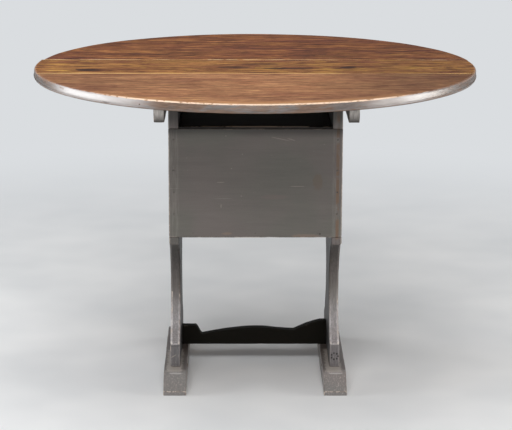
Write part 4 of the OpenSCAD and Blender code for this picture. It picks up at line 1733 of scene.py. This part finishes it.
@dataclass
class BoxSeat:
    """The sides and the box between them, with its rail, its strips and its nails.

    Attributes:
        base_depth: Depth of the sides where they stand on the feet.
        waist_depth: Depth of the sides at the waist.
        lip_z: Height of the lip under the curved cut.
        chin_thickness: Thickness of the ledge under the front board.
        chamfer: Width of the chamfers along the curved cuts.
        cut_steps: Points on each curved cut.
        tenon_spacing: Distance between the middles of a side's tenons.
        tenon_width: Width of a tenon.
        tenon_depth: Depth of a tenon in the foot.
        shade_over: Heights where the shade under the top starts and is deepest.
        band_width: Width of the upright strokes at each end of the front and back boards.
        rub_at: Place across the table of the rubbed strip near the right end of the front board.
        ring_at: Place across the table and height of the ring of small holes low on the right side.
        ring_radius: Radius of that ring.
        ring_holes: Number of its holes.
        inner: Distance of the sides' inner faces from the table's middle.
        outer: Distance of their outer faces.
        half_depth: Half the depth of the box.
        chin: Height of the ledge's lower edge.
    """

    base_depth: float = 292.0 * MM
    waist_depth: float = 152.0 * MM
    lip_z: float = 97.0 * MM
    chin_thickness: float = 16.5 * MM
    chamfer: float = 4.0 * MM
    cut_steps: int = 40
    tenon_spacing: float = 170.0 * MM
    tenon_width: float = 60.0 * MM
    tenon_depth: float = 28.0 * MM
    shade_over: tuple[float, float] = (594.0 * MM, 628.0 * MM)
    band_width: float = 24.0 * MM
    rub_at: float = 181.0 * MM
    ring_at: tuple[float, float] = (181.0 * MM, 68.0 * MM)
    ring_radius: float = 7.6 * MM
    ring_holes: int = 7
    inner: float = field(init=False)
    outer: float = field(init=False)
    half_depth: float = field(init=False)
    chin: float = field(init=False)

    def __post_init__(self) -> None:
        """Takes the places of the sides' faces and of the ledge from the construction."""
        near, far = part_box("side_right")
        self.inner, self.outer = near.x, far.x
        self.half_depth = far.y
        self.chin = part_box("front_board")[0].z - self.chin_thickness

    def build(self) -> None:
        """Builds every fixed piece of the box and its sides."""
        self.side("side_left", -1.0, 15.0)
        self.side("side_right", 1.0, 18.0)
        self.panel("front_board", 21.0)
        self.panel("back_board", 27.0)
        self.bare_boards()
        self.rail()
        iron = ForgedIron("iron_of_box_nails", painted=0.35).make()
        painted = ForgedIron("iron_of_painted_nails", painted=0.9).make()
        flush = {"proud": -0.02 * MM, "crown": 0.12 * MM}
        for nails in (
                Nails("front_board_nails", Body.BASE, painted, head=5.6 * MM, proud=0.3 * MM, seed=0.0),
                Nails("back_board_nails", Body.BASE, painted, head=5.6 * MM, seed=1.0, **flush),
                Nails("bottom_board_nails", Body.BASE, painted, head=5.0 * MM, seed=2.0, **flush),
                Nails("lid_rest_nails", Body.BASE, iron, seed=3.0),
                Nails("lid_rail_nails", Body.BASE, iron, seed=4.0, **flush)):
            nails.build()

    def side_outline(self, x: float, high: Vector) -> list[Vector]:
        """Draws a side from front to back, with its curved cuts, rebates and tenons.

        Args:
            x: Place of the outline across the table.
            high: Highest corner of the side's box.

        Returns:
            The outline's points.
        """
        panel_low, panel_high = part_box("front_board")
        rebate = high.y - (panel_high.y - panel_low.y)
        foot_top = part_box("foot_left")[1].z
        centre, radius = self.cut_circle()
        lip_angle = math.atan2(self.lip_z - centre.z, -self.base_depth / 2 - centre.y)
        chin_angle = math.atan2(self.chin - centre.z, -high.y - centre.y)
        cut = arc(centre, radius, lip_angle, chin_angle, self.cut_steps)
        pivot = Vector(frame["joints"][0]["pos_m"])
        corner = arc(Vector((0, pivot.y, pivot.z)), high.y - pivot.y, 0.0, math.pi / 2, 10)
        flat = [
            (-self.base_depth / 2, foot_top), *((point.y, point.z) for point in cut),
            (-high.y, panel_low.z), (-rebate, panel_low.z), (-rebate, panel_high.z), (-high.y, panel_high.z),
            (-high.y, high.z), *((point.y, point.z) for point in reversed(corner)),
            (high.y, panel_high.z), (rebate, panel_high.z), (rebate, panel_low.z), (high.y, panel_low.z),
            *((-point.y, point.z) for point in reversed(cut)), (self.base_depth / 2, foot_top),
        ]
        bottom = foot_top - self.tenon_depth
        for way in (1.0, -1.0):
            far = way * self.tenon_spacing / 2 + self.tenon_width / 2
            near = way * self.tenon_spacing / 2 - self.tenon_width / 2
            flat += [(far, foot_top), (far, bottom), (near, bottom), (near, foot_top)]
        return [Vector((x, y, z)) for y, z in flat]

    def cut_circle(self) -> tuple[Vector, float]:
        """Returns the centre and the radius of the front cut, through the lip, the waist and the chin."""
        lip_in = (self.base_depth - self.waist_depth) / 2
        chin_in = self.half_depth - self.waist_depth / 2
        first = chin_in - lip_in
        second = lip_in * self.chin - chin_in * self.lip_z
        third = chin_in * self.lip_z ** 2 - lip_in * self.chin ** 2 - lip_in * chin_in * first
        height = (math.sqrt(second ** 2 - first * third) - second) / first
        radius = (lip_in ** 2 + (height - self.lip_z) ** 2) / (2 * lip_in)
        return Vector((0, -self.waist_depth / 2 - radius, height)), radius

    def side(self, name: str, way: float, seed: float) -> None:
        """Builds one side.

        Args:
            name: Its node.
            way: -1 on the left and 1 on the right.
            seed: Shift in its patterns.
        """
        low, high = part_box(name)
        age = Age(arris=1.3 * MM, fade=4.0 * MM, along=14.0 * MM, knocks=1.8 * MM)
        side = Timber(name, Grain.UPRIGHT, age, seed)
        side.prism(self.side_outline(low.x, high), Vector((high.x - low.x, 0, 0)))
        centre, radius = self.cut_circle()
        curved = [
            edge for edge in side.sharp_edges()
            if all(abs(math.hypot(abs(vert.co.y) + centre.y, vert.co.z - centre.z) - radius) < 0.1 * MM
                   for vert in edge.verts)
            and abs(edge.verts[0].co.x - edge.verts[1].co.x) < MM
        ]
        side.bevel(curved, self.chamfer, 1).age_through()
        tones = {"rub_at": self.rub_at, "warm": tone(100, 93, 90), "cool": tone(98, 94, 89)}
        if way < 0:
            tones = {"warm": tone(90, 84, 81), "cool": tone(86, 83, 79)}
        # Each side gets painted shade under its ledge, inside the box and under the top, and painted light
        # lower down.
        finish = GreyPaint(
            f"paint_of_{name}", Grain.UPRIGHT, wear=0.90, offset=seed, inside=self.inner, scuffs=0.3,
            painted_low_light=0.54, shade_line=self.chin, lip=self.lip_z, wear_under=200.0 * MM,
            band=(self.inner, self.outer, high.y), marks=self.side_marks(way),
            shade_over=self.shade_over, **tones)
        side.finish(Body.BASE, Slot.PAINT, finish.make())

    def side_marks(self, way: float) -> tuple[Mark, ...]:
        """Places the marks low on a side's front edge.

        Args:
            way: -1 on the left and 1 on the right.

        Returns:
            Glints on the lip, then a pale scuff on the left side or the ring of holes on the right.
        """
        x, z = self.ring_at
        glints = tuple(
            Mark(way * at, self.lip_z + 1.0 * MM, 2.0 * MM, 2.6 * MM, tone(206, 198, 190), 0.8)
            for at in (self.outer - 2.5 * MM, self.inner + 3.0 * MM))
        if way < 0:
            scuff = Mark(-x - 3.0 * MM, z, 6.0 * MM, 1.4 * MM, tone(166, 156, 148), 0.7, lean=-0.6)
            return (*glints, scuff)
        turns = [2 * math.pi * number / self.ring_holes for number in range(self.ring_holes)]
        places = [Vector((math.cos(turn), math.sin(turn))) * self.ring_radius for turn in turns]
        return glints + tuple(
            Mark(x + place.x, z + place.y, 2.0 * MM, 2.6 * MM, tone(28, 23, 20)) for place in places)

    def panel(self, name: str, seed: float) -> None:
        """Builds the front or the back board of the box.

        Args:
            name: Its node.
            seed: Shift in its patterns.
        """
        low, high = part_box(name)
        age = Age(arris=1.5 * MM, fade=3.4 * MM, knocks=1.8 * MM, swell=0.4 * MM)
        board = Timber(name, Grain.ACROSS, age, seed)
        board.block(low, high).age_through()
        only_front = {}
        # The front board also gets painted shade below its top edge.
        if low.y < 0:
            only_front = {
                "rub_at": self.rub_at, "board_top_shade": (high.z - 1.0 * MM, 23.0 * MM), "marks": FRONT_MARKS}
        finish = GreyPaint(
            f"paint_of_{name}", Grain.ACROSS, wear=0.97, offset=seed,
            band=(high.x - self.band_width, high.x, max(-low.y, high.y)), **only_front)
        board.finish(Body.BASE, Slot.PAINT, finish.make())

    def bare_boards(self) -> None:
        """Builds the bottom board and the strips that carry the lid."""
        pale, dark = tone(176, 146, 108), tone(132, 98, 66)
        grains = {
            "bottom_board": Grain.ACROSS, "lid_rest_left": Grain.DEPTH, "lid_rest_right": Grain.DEPTH}
        for name, grain in grains.items():
            low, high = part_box(name)
            wood = BareWood(f"pine_of_{name}", grain, pale=pale, dark=dark).make()
            board = Timber(name, grain, Age(arris=1.0 * MM, knocks=0.8 * MM), 31.0)
            board.block(low, high).age_through().finish(Body.BASE, Slot.BARE_PINE, wood)

    def rail(self) -> None:
        """Builds the fixed rail behind the lid."""
        low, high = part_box("lid_rail")
        rail = Timber("lid_rail", Grain.ACROSS, Age(arris=1.2 * MM, knocks=1.0 * MM), 35.0)
        rail.block(low, high).age_through()
        finish = GreyPaint(
            "paint_of_rail", Grain.ACROSS, wear=0.85, offset=35.0, warm=tone(38, 33, 29),
            cool=tone(34, 31, 27), bare=tone(92, 78, 64), halo=tone(44, 37, 31), scratches=0.4,
            gloss=0.1, dull=0.25)
        rail.finish(Body.BASE, Slot.PAINT, finish.make())


@dataclass
class Lid:
    """The hinged lid with its hinges and their screws.

    Attributes:
        screw_slot: Width of a screw's slot.
        slot_depth: Depth of a screw's slot.
        head_thickness: Thickness of a screw's head.
        hidden_gap: How much shorter a screw's shank is than its hole.
    """

    screw_slot: float = 0.9 * MM
    slot_depth: float = 0.8 * MM
    head_thickness: float = 1.3 * MM
    hidden_gap: float = 1.5 * MM

    def build(self) -> None:
        """Builds the lid and dresses the hinges."""
        low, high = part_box("lid")
        age = Age(arris=1.6 * MM, fade=3.0 * MM, swell=0.3 * MM, knocks=1.4 * MM)
        lid = Timber("lid", Grain.ACROSS, age, 41.0)
        lid.block(low, high).age_through()
        worn_arris = (
            Mark(-6.0 * MM, high.z - 1.0 * MM, 70.0 * MM, 2.8 * MM, tone(186, 168, 152), 0.9),
            Mark(88.0 * MM, high.z - 1.0 * MM, 36.0 * MM, 2.4 * MM, tone(172, 156, 142), 0.8),
            Mark(-98.0 * MM, high.z - 0.6 * MM, 24.0 * MM, 1.8 * MM, tone(140, 124, 110), 0.7))
        # The lid's near-black paint is painted shade under the top.
        finish = GreyPaint(
            "paint_of_lid", Grain.ACROSS, wear=0.9, offset=41.0, warm=tone(30, 26, 22),
            cool=tone(28, 25, 21), bare=tone(120, 102, 84), halo=tone(44, 37, 31), scratches=0.4,
            gloss=0.08, dull=0.25, marks=worn_arris, marks_in=(low.y + 8.0 * MM, low.y + 4.0 * MM))
        lid.finish(Body.LID, Slot.PAINT, finish.make())
        iron = ForgedIron("iron_of_hinges").make()
        for node in ("hinge_rail_leaves", "hinge_lid_leaves", "hinge_pins"):
            self.dress(node, iron)
        self.screws("hinge_rail_screws", Body.BASE, iron)
        self.screws("hinge_lid_screws", Body.LID, iron)

    def dress(self, node: str, material: Material) -> None:
        """Gives a node that stays as built its own finish.

        Args:
            node: The node.
            material: Its material.
        """
        materials = frame["nodes"][node].data.materials
        materials.clear()
        materials.append(material)
        LOG.info("%s: kept and dressed", node)

    def screws(self, node: str, body: Body, iron: Material) -> None:
        """Builds the slotted screws of a node.

        Args:
            node: The node that they stand for.
            body: Their body.
            iron: Their material.
        """
        mesh = new_mesh()
        for number, corners in enumerate(solids(node)):
            (_, right), _, (bottom, top) = extent(corners)
            centre = middle(corners)
            depth = top - bottom
            place = Matrix.Translation((centre.x, centre.y, top)) @ Matrix.Rotation(0.9 * number, 4, "Z")
            bmesh.ops.create_cone(
                mesh, cap_ends=True, segments=12, radius1=0.6 * MM, radius2=1.4 * MM,
                depth=depth - self.hidden_gap,
                matrix=place @ Matrix.Translation((0, 0, -(depth + self.hidden_gap) / 2)))
            self.head(mesh, place, right - centre.x)
        make_piece(mesh, node, body, iron)

    def head(self, mesh: BMesh, place: Matrix, radius: float) -> None:
        """Adds a flat head with a slot cut across it.

        Args:
            mesh: The screws' bmesh.
            place: Where the middle of the head's face is.
            radius: Radius of the head.
        """
        head = bmesh.new()
        bmesh.ops.create_cone(
            head, cap_ends=True, segments=24, radius1=radius * 0.5, radius2=radius,
            depth=self.head_thickness, matrix=Matrix.Translation((0, 0, -self.head_thickness / 2)))
        for way in (-1.0, 1.0):
            plane_cut(head, Vector((0, way * self.screw_slot / 2, 0)), Vector((0, 1, 0)))
        head.normal_update()
        floor = [
            face for face in head.faces
            if face.normal.z > 0.9 and abs(face.calc_center_median().y) < self.screw_slot / 4
        ]
        draw_out(head, floor, Vector((0, 0, -self.slot_depth)))
        bmesh.ops.transform(head, matrix=place, verts=head.verts[:])
        data = bpy.data.meshes.new("screw_head")
        head.to_mesh(data)
        head.free()
        mesh.from_mesh(data)
        bpy.data.meshes.remove(data)


@dataclass(frozen=True)
class Lamp:
    """A soft lamp.

    Attributes:
        name: Its name.
        place: Where it hangs.
        target: What it faces.
        size: Its width and height.
        power: Its power in watts.
        tint: Colour of its light.
    """

    name: str
    place: tuple[float, float, float]
    target: tuple[float, float, float]
    size: tuple[float, float]
    power: float
    tint: tuple[float, float, float] = (1.0, 0.99, 0.98)

    def build(self) -> None:
        """Hangs the lamp."""
        data = bpy.data.lights.new(self.name, "AREA")
        data.shape = "RECTANGLE"
        data.size, data.size_y = self.size
        data.energy = self.power
        data.color = self.tint
        lamp = bpy.data.objects.new(self.name, data)
        bpy.context.scene.collection.objects.link(lamp)
        lamp.location = self.place
        lamp.rotation_euler = (Vector(self.target) - lamp.location).to_track_quat("-Z", "Y").to_euler()
        lamp.visible_camera = False


@dataclass
class Studio:
    """The plain floor, the soft lamps and the camera at the photograph's viewing angle.

    Attributes:
        pixels: Width of the photograph's frame.
        focal_pixels: Focal length in pixels of that frame.
        camera_away: Distance of the camera from the table's axis.
        camera_height: Height of the camera.
        pitch: How far the camera looks down, in degrees.
        yaw: How far the camera looks to its right, in radians.
        roll: How far the camera leans, in radians.
        centre_shift: Pixels that the table's middle lies left of the frame's.
        floor_tone: Colour of the floor and the backdrop.
        surround_light: Strength of the surroundings as a lamp; to the eye it is 1.
        sensor: Width of the camera's sensor, in millimetres.
        floor_size: Length of the floor's sides.
        fade_from: Distance where the lit floor starts to pass into the plain backdrop.
        fade_to: Distance where only the plain backdrop is left.
        lamps: The lamps.
    """

    pixels: int = 512
    focal_pixels: float = 2008.8
    camera_away: float = 4.5
    camera_height: float = 1.431
    pitch: float = 13.36
    yaw: float = 0.010
    roll: float = 0.003
    centre_shift: float = 1.4
    floor_tone: Colour = tone(218, 221, 224)
    surround_light: float = 0.26
    sensor: float = 36.0
    floor_size: float = 60.0
    fade_from: float = 0.9
    fade_to: float = 2.6
    lamps: tuple[Lamp, ...] = (
        Lamp("overhead", (-0.3, 0.1, 2.9), (0.0, 0.0, 0.7), (2.6, 2.2), 34.0),
        Lamp("front_high", (-0.3, -2.7, 2.9), (0.0, 0.0, 0.2), (2.4, 1.2), 62.0),
        Lamp("front_low", (0.0, -4.4, 1.3), (0.0, 0.0, 0.4), (2.6, 1.0), 26.0),
        Lamp("left_side", (-4.0, 0.0, 0.85), (0.0, -0.1, 0.6), (2.2, 1.5), 80.0, (0.97, 0.99, 1.0)),
        Lamp("right_side", (4.0, 0.0, 0.85), (0.0, -0.1, 0.6), (2.2, 1.5), 80.0, (1.0, 0.97, 0.92)),
    )

    def build(self) -> None:
        """Sets up the whole studio."""
        self.floor()
        self.world()
        for lamp in self.lamps:
            lamp.build()
        self.camera()
        bpy.context.scene.view_settings.view_transform = "Standard"

    def floor(self) -> None:
        """Makes the plain pale floor, which passes far from the table into an even backdrop."""
        mesh = bmesh.new()
        bmesh.ops.create_grid(mesh, x_segments=1, y_segments=1, size=self.floor_size / 2)
        data = bpy.data.meshes.new("studio_floor")
        mesh.to_mesh(data)
        mesh.free()
        graph = Graph("pale_floor")
        mottle = graph.noise(even(3.0), 2.0)
        graph.colour = graph.ramp(mottle, ((0.0, self.floor_tone), (1.0, WHITE)))
        graph.shade(mottle, 0.995, 1.005)
        normal = graph.bump(graph.noise(even(300.0)), 0.1 * MM, 0.2)
        data.materials.append(graph.dress(0.9, normal, 0.1))
        seen = graph.result("ShaderNodeLightPath", "Is Camera Ray")
        share = graph.off_axis.step(self.fade_from, self.fade_to) * seen
        plain = graph.result("ShaderNodeEmission", "Emission", {"Color": self.floor_tone})
        blend = graph.result("ShaderNodeMixShader", "Shader", {0: share, 1: graph.surface, 2: plain})
        graph.feed(graph.output, {"Surface": blend})
        floor = bpy.data.objects.new("studio_floor", data)
        bpy.context.scene.collection.objects.link(floor)

    def world(self) -> None:
        """Makes the pale surroundings, brighter to the eye than as a lamp."""
        world = bpy.data.worlds.new("studio_world")
        bpy.context.scene.world = world
        nodes = Nodes(world)
        path = nodes.add("ShaderNodeLightPath")
        camera, glossy, through = (
            Value(nodes, path.outputs[f"Is {kind} Ray"]) for kind in ("Camera", "Glossy", "Transmission"))
        seen = nodes.most(nodes.most(camera, glossy), through)
        colours = {"Color": self.floor_tone, "Strength": seen.span(self.surround_light, 1.0)}
        background = nodes.result("ShaderNodeBackground", "Background", colours)
        nodes.add("ShaderNodeOutputWorld", {"Surface": background})

    def camera(self) -> None:
        """Places the camera."""
        data = bpy.data.cameras.new("camera")
        data.sensor_width = self.sensor
        data.lens = self.focal_pixels * self.sensor / self.pixels
        data.shift_x = self.centre_shift / self.pixels
        camera = bpy.data.objects.new("camera", data)
        bpy.context.scene.collection.objects.link(camera)
        away = Vector((-math.sin(self.yaw), -math.cos(self.yaw), 0.0)) * self.camera_away
        camera.location = away + Vector((0.0, 0.0, self.camera_height))
        turn = Matrix.Rotation(-self.yaw, 3, "Z") @ Matrix.Rotation(math.radians(90.0 - self.pitch), 3, "X")
        camera.rotation_euler = (turn @ Matrix.Rotation(self.roll, 3, "Z")).to_euler()
        bpy.context.scene.camera = camera


def main() -> None:
    """Builds the table's sub-assemblies and the studio in order."""
    logging.basicConfig(level=logging.INFO, format="%(name)s: %(message)s")
    noise.seed_set(KNOCK_SEED)
    for assembly in (RoundTop(), Pivot(), BoxSeat(), Lid(), Underframe(), Studio()):
        LOG.info("building %s", type(assembly).__name__)
        assembly.build()


if __name__ == "__main__":
    main()
